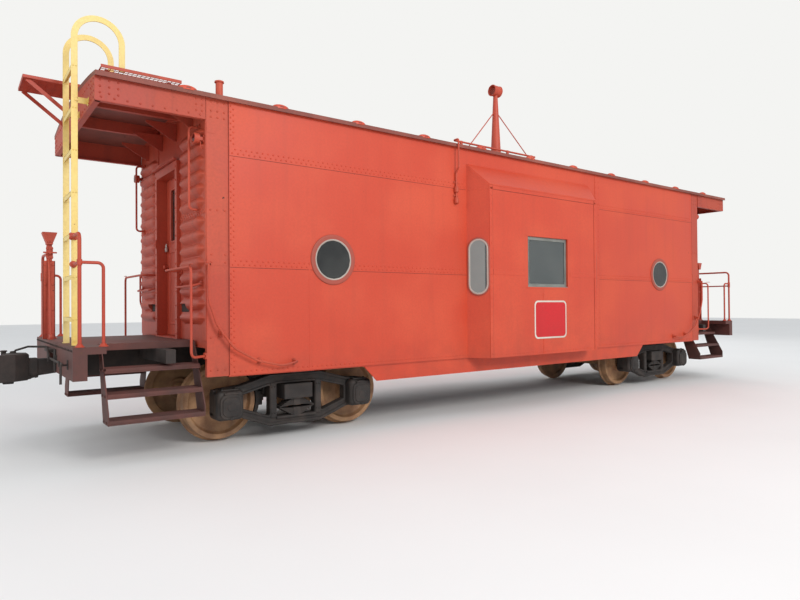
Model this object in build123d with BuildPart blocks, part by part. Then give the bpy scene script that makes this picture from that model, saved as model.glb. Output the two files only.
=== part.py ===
from build123d import *
import os
from math import cos, hypot, radians, sin

os.makedirs("parts", exist_ok=True)

# A bay-window caboose at full size, in millimetres. X runs along the car, Z is up and z = 0 is
# the plane under the wheel flanges. The A end is at -X. The B end is the A end turned half round.

# Wheels and axles
tread_diameter = 838
flange_depth = 28
flange_thickness = 33
wheel_width = 140
rim_depth = 62
back_gauge = 1353
hub_diameter = 270
hub_proud = 18
plate_recess = 62
wheel_sides = 20
hub_sides = 12
axle_diameter = 165
journal_diameter = 140
journal_spacing = 1956
journal_length = 254
journal_clearance = 0.06
rod_sides = 6
round_steps = 4
corner_steps = 2

# Trucks
truck_spacing = 7600
wheelbase = 1676
frame_depth = 96
frame_top = 735
frame_seat = 150
window_width = 500
window_bottom = 250
window_top = 628
column_width = 82
box_width = 310
box_height = 330
box_back = 116
box_front = 168
box_chin = 30
box_crown = 26
lid_thickness = 22
lid_margin = 30
lid_drop = 8
journal_end_gap = 6
hole_foot = 12
hole_head = 118
hole_side = 26
hole_box_head = 78
hole_box_foot = 92
bolster_width = 360
bolster_height = 170
bolster_reach = 1095
bolster_knee = 180
bolster_haunch = 130
bolster_belly = 60
bowl_diameter = 360
bowl_depth = 25
bowl_height = 692
spring_leaf = 13
spring_leaves = 6
spring_span = 440
spring_step = 0.13
spring_width = 150
spring_band = 90
spring_camber = 40

# Underframe
sill_top = 1090
sill_bottom = 780
sill_half = 172
sill_plate = 12
bolster_plate = 300
plate_rise = 12
plate_half = 252
plate_gap = 0.3
plate_side_gap = 6
bolster_clear = 66
bolster_end_clear = 90
bolster_inset = 10
jack_pad_y = 1100
jack_pad_width = 116
jack_pad_length = 260
jack_pad_z = 760
bearer_places = (-2500, -1250, 0, 1250, 2500)
bearer_width = 140
bearer_rise = 20
bearer_knee = 0.6
bearer_knee_rise = 110
bearer_end_rise = 130
skirt_bottom = 587
skirt_long = 5648
skirt_slope = 191
skirt_plate = 12
skirt_inset = 24
sill_flange = 80

# Body
body_length = 9910
body_width = 2632
side_bottom = 791
eave = 3731
wall = 60
corner_width = 235
corner_recess = 8
floor_thickness = 68
roof_rise = 110
roof_sheet = 45
roof_overhang = 44
canopy = 1051
fascia_bottom = 3469
fascia_plate = 14
fascia_lip = 46

# Side windows and the bay
port_reach = 3500
port_height = 2066
port_glass = 450
gasket_outer = 590
gasket_proud = 16
port_sides = 16
pane_step = 3
glass_thickness = 10
bay_centre = 46
bay_length = 2720
bay_slant = 175
bay_depth = 278
bay_wall = 50
bay_front_top = 3189
bay_back_top = 3486
bay_window_width = 895
bay_window_height = 735
bay_window_middle = 2146
bay_window_shift = 24
sash_width = 38
sash_depth = 22
slot_width = 250
slot_height = 740
slot_middle = 2050
slot_gasket = 34
slot_proud = 12
cut_past = 10

# Ends and doors
door_clear_width = 760
door_frame_width = 70
door_frame_out = 50
door_frame_in = 60
door_frame_top = 3205
door_head = 92
door_leaf = 45
door_gap = 6
door_sill = 14
door_window_width = 380
door_window_height = 620
door_window_middle = 2650
hinge_pin = 16
hinge_barrel = 30
hinge_clearance = 0.06
hinge_stand = 1
hinge_leaf = 16
hinge_flap = 64
hinge_ear = 24
knuckle_gap = 1
barrel_sides = 8
hinge_heights = (1500, 2840)
rib_pitch = 145
rib_height = 38
rib_half_width = 56
rib_taper = 190
rib_crown = 26
panel_sheet = 8
panel_edge = 36
panel_gap = 8
rib_upper_start = 0.62
rib_lower_start = 0.75
panel_bottom = 1166
panel_seam = 2530
upper_rib_count = 6
lower_rib_count = 8
step_hole_width = 300
step_hole_height = 96
step_hole_middle = 1512
step_hole_inset = 24

# Platforms and steps
platform_length = 1245
end_sill_depth = 120
end_sill_bottom = 850
end_sill_half = 1384
deck_half = 895
coupler_slot = 156
coupler_slot_top = 1035
step_plate = 10
step_outer = 1325
step_gap = 22
tread_depth = 235
tread_plate = 28
step_count = 3
step_first = 430
step_rise = 240
step_shift = 75
stringer_foot = 60
stringer_nose = 90

# Rails, ladders, roof walks
rail_pipe = 34
corner_pipe_top = 2205
far_pipe_drop = 30
rail_bend = 70
short_rail_bend = 50
mid_rail = 1888
short_rail_height = 1936
short_rail_pipe = 30
mid_rail_pipe = 26
corner_deck = 160
corner_plate = 68
rail_inset = 60
corner_post_out = 1352
short_rail = 200
ladder_inset = 73
ladder_near = 1000
ladder_far = 480
stile_width = 58
stile_thickness = 12
rung_pitch = 408
rung_first = 1428
rung_count = 7
rung_leg = 44
rung_plate = 6
loop_reach = 427
loop_spring = 4146
loop_steps = 9
ladder_stay_rise = 58
landing_top = 3885
landing_inset = 101
landing_length = 778
landing_width = 640
landing_plate = 40
landing_edge = 60
walk_half = 255
walk_reach = 484
walk_length = 1900
walk_top = 3928
walk_plate = 34
board_width = 40
board_start = 70
board_finish = 110
board_far = 420
saddle_width = 50
saddle_inset = 20
saddle_end = 80
saddle_middle = 556
brace_plate = 12
brace_inset = 30
brace_width = 40
brace_rise = 20
brace_foot = 42
grab_rod = 25
foot_pad = 12

# Hand brake
brake_y = 700
stand_width = 130
stand_depth = 60
stand_web = 10
stand_height = 920
stand_shift = 10
ratchet_size = 46
ratchet_middle = 1010
ratchet_height = 200
ratchet_offset = 16
funnel_bottom = 30
funnel_top = 75
funnel_height = 140
funnel_width = 110

# Rods and lamps on the sides and ends
side_rod_stand = 70
side_foot_length = 50
side_foot_height = 44
upright_y = 1113
upright_stand = 109
upright_bend = 40
corner_rod = 27
corner_rod_bend = 50
corner_rod_y = 1410
corner_rod_stand = 185
corner_rod_top = 1928
corner_rod_foot = 1010
corner_rod_start_y = 1280
corner_rod_end_y = 496
corner_foot_width = 50
corner_foot_height = 60
drop_rod_out = 1190
drop_rod_in = 520
drop_rod_lean = 40
drop_rod_stand = 87
drop_rod_drop = 28
drop_rod_bend = 30
drop_foot_width = 40
drop_foot_height = 28
lamp_y = 1235
lamp_stand = 105
lamp_length = 60
lamp_radius = 52
lamp_sides = 12
lamp_bracket = 50
lamp_bracket_width = 30

# Smoke jack, vent, roof pipe and the conduit down the near side
jack_x = -560
jack_y = -1150
jack_radius = 38
jack_sides = 8
jack_rise = 998
cap_radius = 82
cap_sides = 12
cap_drop = 60
cap_length = 150
stay_drop = 380
stay_reach = 640
stay_shift = 90
stay_rod = 18
root_depth = 6
pipe_inset = 70
pipe_lift = 45
pipe_size = 26
pipe_bend = 28
pipe_start = 140
pipe_foot_places = (-1380, -460, 60)
pipe_foot_length = 40
pipe_foot_width = 16
drop_x = -1520
drop_stand = 30
drop_near = 20
drop_bend_top = 3400
drop_bend_bottom = 3330
knob_heights = (3098, 2948)
knob_radius = 34
knob_length = 70
knob_sides = 8
vent_inset = 155
vent_y = -1270
vent_radius = 40
vent_height = 160

# Couplers
coupler_height = 904
coupler_reach = 550
shank_height = 150
shank_width = 130
head_height = 280
shank_run = 300
gear_length = 560
gear_height = 230
head_length = 330
knuckle_height = 236
pin_radius = 26
pin_rise = 20

# Air brake and sign plates
hang_rise = 60
tank_sides = 16
tank_x = -620
tank_y = 620
tank_drop = 160
tank_radius = 205
tank_length = 1000
cylinder_x = 620
cylinder_y = -620
cylinder_drop = 120
cylinder_radius = 160
cylinder_length = 480
rim_reach = 25
rim_length = 30
strap_spread = 370
strap_narrow = 140
strap_length = 50
strap_width = 120
strap_height = 330
sign_shift = 66
sign_middle = 1300
sign_width = 720
sign_height = 560
sign_round = 70
sign_plate = 4

half_body = body_length / 2
half_width = body_width / 2
axle_height = flange_depth + tread_diameter / 2
truck_place = truck_spacing / 2
journal_place = journal_spacing / 2
deck_top = sill_top + floor_thickness
end_sill_face = half_body + platform_length
roof_half_width = half_width + roof_overhang
roof_half_length = half_body + canopy
ladder_plane = end_sill_face - ladder_inset
walk_tip = roof_half_length + walk_reach
landing_start = -roof_half_length + landing_inset
step_levels = [step_first + k * step_rise for k in range(step_count)]
roof_radius = (roof_half_width**2 + roof_rise**2) / (2 * roof_rise)
corner_half = half_width - corner_recess
inner_half = half_width - wall
inner_end = half_body - wall


def roof_over(y):
    # height of the roof's outer surface above the floor plane, y from the middle of the car
    return eave + roof_rise - roof_radius + (roof_radius**2 - y**2) ** 0.5


def roof_under(y):
    # height of the roof's under surface, concentric with the outer one
    return eave + roof_rise - roof_radius + ((roof_radius - roof_sheet) ** 2 - y**2) ** 0.5


def rod(route, diameter, bend):
    # bar with a few flats along a route of points, each corner cut short by the bend
    points = [Vector(*place) for place in route]
    stops = [points[0]]
    for before, corner, after in zip(points, points[1:], points[2:]):
        toward = (before, after) if bend else ()
        stops += [corner + (place - corner).normalized() * bend for place in toward] or [corner]
    stops.append(points[-1])
    with BuildLine() as run:
        Polyline(*stops)
    with BuildSketch(Plane(origin=run.line @ 0, z_dir=run.line % 0)) as section:
        RegularPolygon(diameter / 2, rod_sides)
    sweep(section.sketch, path=run.line, transition=Transition.RIGHT)


def arc_points(middle, radius, start, finish, steps):
    # points round a middle from one angle to another, both in degrees
    turn = (finish - start) / steps
    angles = [radians(start + k * turn) for k in range(steps + 1)]
    return [(middle[0] + radius * cos(a), middle[1] + radius * sin(a)) for a in angles]


def slot_points(height, width):
    # outline of a round-ended slot that runs along the first direction
    reach = (height - width) / 2
    return arc_points((reach, 0), width / 2, -90, 90, round_steps) + arc_points(
        (-reach, 0), width / 2, 90, 270, round_steps
    )


def plate_points(width, height, radius):
    # outline of a plate with rounded corners about its middle
    across, up = width / 2 - radius, height / 2 - radius
    corners = ((across, up, 0), (-across, up, 90), (-across, -up, 180), (across, -up, 270))
    points = []
    for u, v, turn in corners:
        points += arc_points((u, v), radius, turn, turn + 90, corner_steps)
    return points


def save(part, name):
    part.label = name
    export_step(part, f"parts/{name}.step")


def save_both_ends(part, name):
    # the A end's piece with the B end's, which is the same piece turned half round
    save(part + part.rotate(Axis.Z, 180), name)


def save_each_end(part, name):
    # the same, for pieces that move and so are kept apart
    save(part, name + "_a")
    save(part.rotate(Axis.Z, 180), name + "_b")


# Wheelsets: axle, hubs, dished plates, rims, treads and flanges, with fine flats for their rounds
tread_radius = tread_diameter / 2
flange_radius = tread_radius + flange_depth
rim_radius = tread_radius - rim_depth
wheel_back = back_gauge / 2
wheel_front = wheel_back + wheel_width
plate_front = wheel_front - plate_recess
hub_front = wheel_front + hub_proud
journal_out = journal_place + journal_length / 2

with BuildPart() as wheelset:
    for side in (-1, 1):
        with BuildSketch(Plane.XZ.offset(side * wheel_back)):
            RegularPolygon(flange_radius, wheel_sides)
        with BuildSketch(Plane.XZ.offset(side * (wheel_back + flange_thickness))):
            RegularPolygon(tread_radius, wheel_sides)
        loft(ruled=True)
        with BuildSketch(Plane.XZ.offset(side * (wheel_back + flange_thickness))):
            RegularPolygon(tread_radius, wheel_sides)
        extrude(amount=side * (wheel_width - flange_thickness))
        with BuildSketch(Plane.XZ.offset(side * plate_front)):
            RegularPolygon(rim_radius, wheel_sides)
        extrude(amount=side * plate_recess, mode=Mode.SUBTRACT)
        with BuildSketch(Plane.XZ.offset(side * wheel_back)):
            RegularPolygon(hub_diameter / 2, hub_sides)
        extrude(amount=side * (hub_front - wheel_back))
    with BuildSketch(Plane.XZ):
        Circle(axle_diameter / 2)
    extrude(amount=hub_front - hub_proud, both=True)
    with BuildSketch(Plane.XZ):
        Circle(journal_diameter / 2)
    extrude(amount=journal_out, both=True)

number = 0
for truck_x in (-truck_place, truck_place):
    for axle_x in (truck_x - wheelbase / 2, truck_x + wheelbase / 2):
        number += 1
        save(Pos(axle_x, 0, axle_height) * wheelset.part, f"wheelset_{number}")

# Truck side frames: cast trusses with a spring window, journal boxes at their ends
frame_outline = (
    (box_width / 2 + wheelbase / 2, axle_height - box_height / 2 + box_chin),
    (box_width / 2 + wheelbase / 2, axle_height + box_height / 2),
    (wheelbase / 2 - box_width / 2, axle_height + box_height / 2 + box_crown),
    (window_width / 2 + column_width, frame_top),
    (-window_width / 2 - column_width, frame_top),
    (box_width / 2 - wheelbase / 2, axle_height + box_height / 2 + box_crown),
    (-box_width / 2 - wheelbase / 2, axle_height + box_height / 2),
    (-box_width / 2 - wheelbase / 2, axle_height - box_height / 2 + box_chin),
    (box_width / 2 - wheelbase / 2, axle_height - box_height / 2),
    (-window_width / 2 - column_width, frame_seat),
    (window_width / 2 + column_width, frame_seat),
    (wheelbase / 2 - box_width / 2, axle_height - box_height / 2),
)
slot_start = window_width / 2 + column_width
slot_end = wheelbase / 2 - box_width / 2 - hole_side
side_hole = (
    (slot_start, window_bottom + hole_foot),
    (slot_start, frame_top - hole_head),
    (slot_end, axle_height + box_height / 2 - hole_box_head),
    (slot_end, axle_height - box_height / 2 + hole_box_foot),
)

for end, truck_x in (("a", -truck_place), ("b", truck_place)):
    with BuildPart() as side_frames:
        for side in (-1, 1):
            middle = side * journal_place
            face = Plane(origin=(truck_x, middle, 0), x_dir=(1, 0, 0), z_dir=(0, -1, 0))
            with BuildSketch(face):
                Polygon(*frame_outline, align=None)
                with Locations((0, (window_bottom + window_top) / 2)):
                    Rectangle(window_width, window_top - window_bottom, mode=Mode.SUBTRACT)
                Polygon(*side_hole, align=None, mode=Mode.SUBTRACT)
                Polygon(*[(-u, v) for u, v in side_hole], align=None, mode=Mode.SUBTRACT)
            extrude(amount=frame_depth / 2, both=True)
            for axle_shift in (-wheelbase / 2, wheelbase / 2):
                box_middle = middle + side * (box_front - box_back) / 2
                with Locations((truck_x + axle_shift, box_middle, axle_height)):
                    Box(box_width, box_back + box_front, box_height)
                lid_middle = middle + side * (box_front + lid_thickness / 2)
                with Locations((truck_x + axle_shift, lid_middle, axle_height - lid_drop)):
                    Box(box_width - 2 * lid_margin, lid_thickness, box_height - 2 * lid_margin)
                bore = Plane(
                    origin=(truck_x + axle_shift, middle - side * box_back, axle_height),
                    x_dir=(1, 0, 0),
                    z_dir=(0, side, 0),
                )
                with BuildSketch(bore):
                    Circle(journal_diameter / 2 + journal_clearance)
                extrude(amount=box_back + journal_length / 2 + journal_end_gap, mode=Mode.SUBTRACT)
    save(side_frames.part, f"truck_{end}_side_frames")

    # Truck bolster: a deep beam between the windows, with the bowl that carries the car
    bolster_end_top = window_bottom + 2 * spring_leaves * spring_leaf + spring_camber + bolster_height
    with BuildPart() as bolster:
        with BuildSketch(Plane.YZ.offset(truck_x)):
            with BuildLine():
                upper = Polyline(
                    (0, bowl_height),
                    (bowl_diameter, bowl_height),
                    (journal_place - bolster_knee, bolster_end_top),
                    (bolster_reach, bolster_end_top),
                    (bolster_reach, bolster_end_top - bolster_height),
                    (journal_place - bolster_haunch, bolster_end_top - bolster_height),
                    (bowl_diameter, bolster_end_top - bolster_height - bolster_belly),
                    (0, bolster_end_top - bolster_height - bolster_belly),
                )
                mirror(upper, about=Plane.YZ)
            make_face()
        extrude(amount=bolster_width / 2, both=True)
        with BuildSketch(Plane.XY.offset(bowl_height).shift_origin((truck_x, 0, bowl_height))):
            Circle(bowl_diameter / 2)
        extrude(amount=-bowl_depth, mode=Mode.SUBTRACT)
    save(bolster.part, f"truck_{end}_bolster")

    # Leaf springs: two stepped packs over each spring seat, tip to tip
    spring_space = bolster_end_top - bolster_height - window_bottom
    with BuildPart() as springs:
        for side in (-1, 1):
            face = Plane(
                origin=(truck_x, side * journal_place, 0), x_dir=(1, 0, 0), z_dir=(0, -1, 0)
            )
            with BuildSketch(face):
                for leaf in range(spring_leaves):
                    span = spring_span * (1 - spring_step * leaf)
                    low = window_bottom + spring_space / 2 - (leaf + 1) * spring_leaf
                    high = window_bottom + spring_space / 2 + (leaf + 0.5) * spring_leaf
                    with Locations((0, low + spring_leaf / 2)):
                        Rectangle(span, spring_leaf)
                    with Locations((0, high)):
                        Rectangle(span, spring_leaf)
                with Locations((0, window_bottom + spring_space / 2)):
                    Rectangle(spring_band, spring_space)
            extrude(amount=spring_width / 2, both=True)
    save(springs.part, f"truck_{end}_springs")

# Centre sill: an inverted channel that runs from end sill to end sill
end_sill_back = end_sill_face - end_sill_depth
with BuildPart() as center_sill:
    with BuildSketch(Plane.YZ.offset(-end_sill_back)):
        with Locations((0, (sill_top + sill_bottom) / 2)):
            Rectangle(2 * sill_half, sill_top - sill_bottom)
        with Locations((0, (sill_top - sill_plate + sill_bottom) / 2)):
            Rectangle(
                2 * (sill_half - sill_plate), sill_top - sill_plate - sill_bottom, mode=Mode.SUBTRACT
            )
    extrude(amount=2 * end_sill_back)
save(center_sill.part, "center_sill")

# Body bolsters with the centre plates that sit in the trucks' bowls
with BuildPart() as body_bolsters:
    for truck_x in (-truck_place, truck_place):
        with BuildSketch(Plane.YZ.offset(truck_x)):
            with BuildLine():
                outline = Polyline(
                    (0, bowl_height + plate_rise),
                    (plate_half, bowl_height + plate_rise),
                    (journal_place - frame_depth, frame_top + bolster_clear),
                    (inner_half - bolster_inset, frame_top + bolster_end_clear),
                    (inner_half - bolster_inset, sill_top),
                    (sill_half, sill_top),
                    (sill_half, sill_bottom),
                    (0, sill_bottom),
                )
                mirror(outline, about=Plane.YZ)
            make_face()
        extrude(amount=bolster_plate / 2, both=True)
        with BuildSketch(Plane.XY.offset(bowl_height + plate_rise)):
            with Locations((truck_x, 0)):
                Circle(bowl_diameter / 2 - plate_side_gap)
        extrude(amount=-(bowl_depth + plate_rise - plate_gap))
        for side in (-1, 1):
            pad_y = side * (jack_pad_y + jack_pad_width / 2)
            with Locations((truck_x, pad_y, (jack_pad_z + sill_top) / 2)):
                Box(jack_pad_length, jack_pad_width, sill_top - jack_pad_z)
save(body_bolsters.part, "body_bolsters")

# Cross bearers, deep at the centre sill and shallow at the side
with BuildPart() as cross_bearers:
    for bearer_x in bearer_places:
        for side in (-1, 1):
            with BuildSketch(Plane.YZ.offset(bearer_x)):
                Polygon(
                    (side * sill_half, sill_top),
                    (side * sill_half, sill_bottom + bearer_rise),
                    (side * inner_half * bearer_knee, sill_bottom + bearer_knee_rise),
                    (side * inner_half, sill_bottom + bearer_end_rise),
                    (side * inner_half, sill_top),
                    align=None,
                )
            extrude(amount=bearer_width / 2, both=True)
save(cross_bearers.part, "cross_bearers")

# Side sills: a flange under the side wall and a skirt that deepens between the trucks
with BuildPart() as side_sills:
    for side in (-1, 1):
        web = side * (half_width - skirt_inset)
        with BuildSketch(Plane.XZ.offset(-web)):
            Polygon(
                (-skirt_long / 2 - skirt_slope, side_bottom - skirt_plate),
                (-skirt_long / 2, skirt_bottom),
                (skirt_long / 2, skirt_bottom),
                (skirt_long / 2 + skirt_slope, side_bottom - skirt_plate),
                align=None,
            )
        extrude(amount=side * skirt_plate)
        flange_middle = web - side * (sill_flange / 2 - skirt_plate)
        with Locations((0, flange_middle, side_bottom - skirt_plate / 2)):
            Box(body_length - 2 * corner_width, sill_flange, skirt_plate)
save(side_sills.part, "side_sills")

# Floor between the walls
with BuildPart() as floor_slab:
    with Locations((0, 0, sill_top + floor_thickness / 2)):
        Box(2 * inner_end, 2 * inner_half, floor_thickness)
save(floor_slab.part, "floor")

# Side walls between the corner posts, cut for the bay and the two portholes
bay_wall_half = bay_length / 2
with BuildPart() as side_wall:
    with BuildSketch(Plane.YZ):
        with BuildLine():
            Polyline(
                (-half_width, roof_under(half_width)),
                (-half_width, side_bottom),
                (-inner_half, side_bottom),
                (-inner_half, roof_under(inner_half)),
            )
            middle_y = -half_width + wall / 2
            ThreePointArc(
                (-inner_half, roof_under(inner_half)),
                (middle_y, roof_under(middle_y)),
                (-half_width, roof_under(half_width)),
            )
        make_face()
    extrude(amount=half_body - corner_width, both=True)
    with BuildSketch(Plane.XZ.offset(inner_half)):
        with Locations((bay_centre, (side_bottom + bay_back_top) / 2)):
            Rectangle(bay_length, bay_back_top - side_bottom)
        with Locations((bay_centre - port_reach, port_height), (bay_centre + port_reach, port_height)):
            RegularPolygon(port_glass / 2, port_sides)
    extrude(amount=wall, mode=Mode.SUBTRACT)
save(side_wall.part, "side_wall_left")
save(side_wall.part.rotate(Axis.Z, 180), "side_wall_right")

# Bay: slanted sides, a flat front and a roof that slopes back to the wall
bay_face = half_width + bay_depth
bay_plan = (
    (bay_centre - bay_length / 2, -half_width),
    (bay_centre - bay_length / 2 + bay_slant, -bay_face),
    (bay_centre + bay_length / 2 - bay_slant, -bay_face),
    (bay_centre + bay_length / 2, -half_width),
)
slant_length = hypot(bay_depth, bay_slant)
slant_inner = bay_wall * slant_length / bay_depth
inner_plan = (
    (bay_centre - bay_length / 2 + slant_inner - bay_slant * wall / bay_depth, -inner_half),
    (bay_centre - bay_length / 2 + bay_slant * (bay_depth - bay_wall) / bay_depth + slant_inner,
     -bay_face + bay_wall),
    (bay_centre + bay_length / 2 - bay_slant * (bay_depth - bay_wall) / bay_depth - slant_inner,
     -bay_face + bay_wall),
    (bay_centre + bay_length / 2 - slant_inner + bay_slant * wall / bay_depth, -inner_half),
)
bay_pitch = (bay_back_top - bay_front_top) / bay_depth
front_window_x = bay_centre + bay_window_shift
slant_planes = [
    Plane(
        origin=(bay_centre + hand * (bay_length - bay_slant) / 2, -half_width - bay_depth / 2, slot_middle),
        x_dir=(0, 0, 1),
        z_dir=(hand * bay_depth, -bay_slant, 0),
    )
    for hand in (-1, 1)
]
with BuildPart() as bay:
    with BuildSketch(Plane.XY.offset(side_bottom)):
        Polygon(*bay_plan, align=None)
        Polygon(
            (bay_plan[0][0], -half_width),
            (bay_plan[3][0], -half_width),
            (bay_plan[3][0], -inner_half),
            (bay_plan[0][0], -inner_half),
            align=None,
        )
    extrude(amount=bay_back_top - side_bottom)
    with BuildSketch(Plane.XY.offset(sill_top + floor_thickness)):
        Polygon(*inner_plan, align=None)
    extrude(amount=bay_back_top - sill_top - floor_thickness, mode=Mode.SUBTRACT)
    # the sloping roof plate closes the top
    with BuildSketch(Plane.YZ.offset(bay_plan[0][0])):
        Polygon(
            (-bay_face - cut_past, bay_front_top - cut_past * bay_pitch - bay_wall),
            (-bay_face - cut_past, bay_front_top - cut_past * bay_pitch),
            (-half_width, bay_back_top),
            (-inner_half, bay_back_top),
            (-inner_half, bay_back_top - bay_wall),
            (-half_width, bay_back_top - bay_wall),
            align=None,
        )
    extrude(amount=bay_length)
    with BuildSketch(Plane.YZ.offset(bay_plan[0][0] - cut_past)):
        Polygon(
            (-bay_face - 2 * cut_past, bay_front_top - 2 * cut_past * bay_pitch),
            (-half_width, bay_back_top),
            (-half_width, bay_back_top + bay_depth),
            (-bay_face - 2 * cut_past, bay_back_top + bay_depth),
            align=None,
        )
    extrude(amount=bay_length + 2 * cut_past, mode=Mode.SUBTRACT)
    # trim everything that stands outside the plan
    with BuildSketch(Plane.XY.offset(side_bottom - cut_past)):
        Polygon(*bay_plan, align=None)
        Polygon(
            (bay_plan[0][0], -half_width),
            (bay_plan[3][0], -half_width),
            (bay_plan[3][0], -inner_half),
            (bay_plan[0][0], -inner_half),
            align=None,
        )
    extrude(amount=bay_back_top, mode=Mode.INTERSECT)
    # front window, and a round-ended slot in each slanted side
    with BuildSketch(Plane.XZ.offset(bay_face - bay_wall - cut_past / 2)):
        with Locations((front_window_x, bay_window_middle)):
            Rectangle(bay_window_width, bay_window_height)
    extrude(amount=bay_wall + cut_past, mode=Mode.SUBTRACT)
    for slant in slant_planes:
        with BuildSketch(slant):
            Polygon(*slot_points(slot_height, slot_width), align=None)
        extrude(amount=bay_wall + cut_past, both=True, mode=Mode.SUBTRACT)
save(bay.part, "bay_left")
save(bay.part.rotate(Axis.Z, 180), "bay_right")

# Window gaskets: rubber rings round the portholes and the bay's round-ended side windows
port_places = [(x, -half_width, port_height) for x in (bay_centre - port_reach, bay_centre + port_reach)]
with BuildPart() as gaskets:
    for place in port_places:
        with BuildSketch(Plane(origin=place, x_dir=(1, 0, 0), z_dir=(0, -1, 0))):
            RegularPolygon(gasket_outer / 2, port_sides)
            RegularPolygon(port_glass / 2, port_sides, mode=Mode.SUBTRACT)
        extrude(amount=gasket_proud)
    for slant in slant_planes:
        with BuildSketch(slant):
            Polygon(*slot_points(slot_height + 2 * slot_gasket, slot_width + 2 * slot_gasket), align=None)
            Polygon(*slot_points(slot_height, slot_width), align=None, mode=Mode.SUBTRACT)
        extrude(amount=slot_proud)
save(gaskets.part + gaskets.part.rotate(Axis.Z, 180), "window_gaskets")

# Panes: round, round-ended and flat, each held inside its gasket or sash
with BuildPart() as panes:
    for place in port_places:
        with BuildSketch(Plane(origin=place, x_dir=(1, 0, 0), z_dir=(0, -1, 0)).offset(pane_step)):
            RegularPolygon(port_glass / 2, port_sides)
        extrude(amount=glass_thickness)
    for slant in slant_planes:
        with BuildSketch(slant.offset(slot_proud - pane_step)):
            Polygon(*slot_points(slot_height, slot_width), align=None)
        extrude(amount=-glass_thickness)
    with BuildSketch(Plane.XZ.offset(bay_face - bay_wall + sash_depth / 2 - glass_thickness / 2)):
        with Locations((front_window_x, bay_window_middle)):
            Rectangle(bay_window_width - 2 * sash_width, bay_window_height - 2 * sash_width)
    extrude(amount=glass_thickness)
save(panes.part + panes.part.rotate(Axis.Z, 180), "window_glass")

# Sashes of the bay's front windows, set back in the opening
with BuildPart() as sashes:
    with BuildSketch(Plane.XZ.offset(bay_face - bay_wall)):
        with Locations((front_window_x, bay_window_middle)):
            Rectangle(bay_window_width, bay_window_height)
            Rectangle(
                bay_window_width - 2 * sash_width,
                bay_window_height - 2 * sash_width,
                mode=Mode.SUBTRACT,
            )
    extrude(amount=sash_depth)
save(sashes.part + sashes.part.rotate(Axis.Z, 180), "bay_window_sashes")

# End walls: a wall across the end with returns to the side sheets, open for the door frame
door_outer_half = door_clear_width / 2 + door_frame_width
leaf_inner = -inner_end + door_frame_in
hinge_x = leaf_inner + hinge_stand + hinge_barrel / 2
hinge_y = -door_clear_width / 2 - door_gap / 2
knuckle = 2 * hinge_barrel
ear_width = (hinge_barrel + hinge_pin) / 2
with BuildPart() as end_wall:
    with BuildSketch(Plane.YZ.offset(-half_body)):
        with BuildLine():
            Polyline(
                (-corner_half, roof_under(corner_half)),
                (-corner_half, side_bottom),
                (corner_half, side_bottom),
                (corner_half, roof_under(corner_half)),
            )
            ThreePointArc(
                (corner_half, roof_under(corner_half)),
                (0, roof_under(0)),
                (-corner_half, roof_under(corner_half)),
            )
        make_face()
    extrude(amount=corner_width)
    with BuildSketch(Plane.YZ.offset(-inner_end)):
        with Locations((0, eave / 2)):
            Rectangle(2 * inner_half, 2 * eave)
    extrude(amount=corner_width, mode=Mode.SUBTRACT)
    with BuildSketch(Plane.YZ.offset(-half_body)):
        with Locations((0, (door_frame_top + sill_bottom) / 2)):
            Rectangle(2 * door_outer_half, door_frame_top - sill_bottom)
        with Locations((0, (sill_top + side_bottom) / 2)):
            Rectangle(2 * inner_half, sill_top - side_bottom)
    extrude(amount=wall, mode=Mode.SUBTRACT)
save_both_ends(end_wall.part, "end_walls")

# Door frames: a deep casing that stands out past the wall, with a sill
with BuildPart() as door_frame:
    with BuildSketch(Plane.YZ.offset(-half_body - door_frame_out)):
        with Locations((0, (door_frame_top + deck_top) / 2)):
            Rectangle(2 * door_outer_half, door_frame_top - deck_top)
        with Locations((0, (door_frame_top - door_head + deck_top + door_sill) / 2)):
            Rectangle(
                door_clear_width, door_frame_top - door_head - deck_top - door_sill, mode=Mode.SUBTRACT
            )
    extrude(amount=door_frame_out + wall + door_frame_in)
    # each hinge: an ear on the casing with a pin that stands up through the door's knuckle
    for height in hinge_heights:
        ear_place = (
            leaf_inner + (hinge_stand + hinge_barrel) / 2,
            hinge_y + (ear_width - hinge_barrel) / 2,
            height - knuckle / 2 - knuckle_gap - hinge_ear / 2,
        )
        with Locations(ear_place):
            Box(hinge_stand + hinge_barrel, ear_width, hinge_ear)
        with BuildSketch(Plane.XY.offset(height - knuckle / 2 - knuckle_gap)):
            with Locations((hinge_x, hinge_y)):
                Circle(hinge_pin / 2)
        extrude(amount=knuckle + hinge_pin)
save_both_ends(door_frame.part, "door_frames")

# Doors: leaves flush with the inside of the casing, each with one window and three knuckles
door_low = deck_top + door_sill + door_gap
door_high = door_frame_top - door_head - door_gap
leaf_half = door_clear_width / 2 - door_gap
with BuildPart() as door:
    with BuildSketch(Plane.YZ.offset(leaf_inner - door_leaf)):
        with Locations((0, (door_low + door_high) / 2)):
            Rectangle(2 * leaf_half, door_high - door_low)
        with Locations((0, door_window_middle)):
            Rectangle(door_window_width, door_window_height, mode=Mode.SUBTRACT)
    extrude(amount=door_leaf)
    for height in hinge_heights:
        with BuildSketch(Plane.XY.offset(height - knuckle / 2)):
            with Locations((hinge_x, hinge_y)):
                RegularPolygon(hinge_barrel / 2, barrel_sides)
        extrude(amount=knuckle)
        with Locations((leaf_inner + hinge_leaf / 2, hinge_y + door_gap + hinge_flap / 2, height)):
            Box(hinge_leaf, hinge_flap, knuckle)
        with Locations((hinge_x, hinge_y, height)):
            Cylinder(hinge_pin / 2 + hinge_clearance, knuckle, mode=Mode.SUBTRACT)
save_each_end(door.part, "door")

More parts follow.
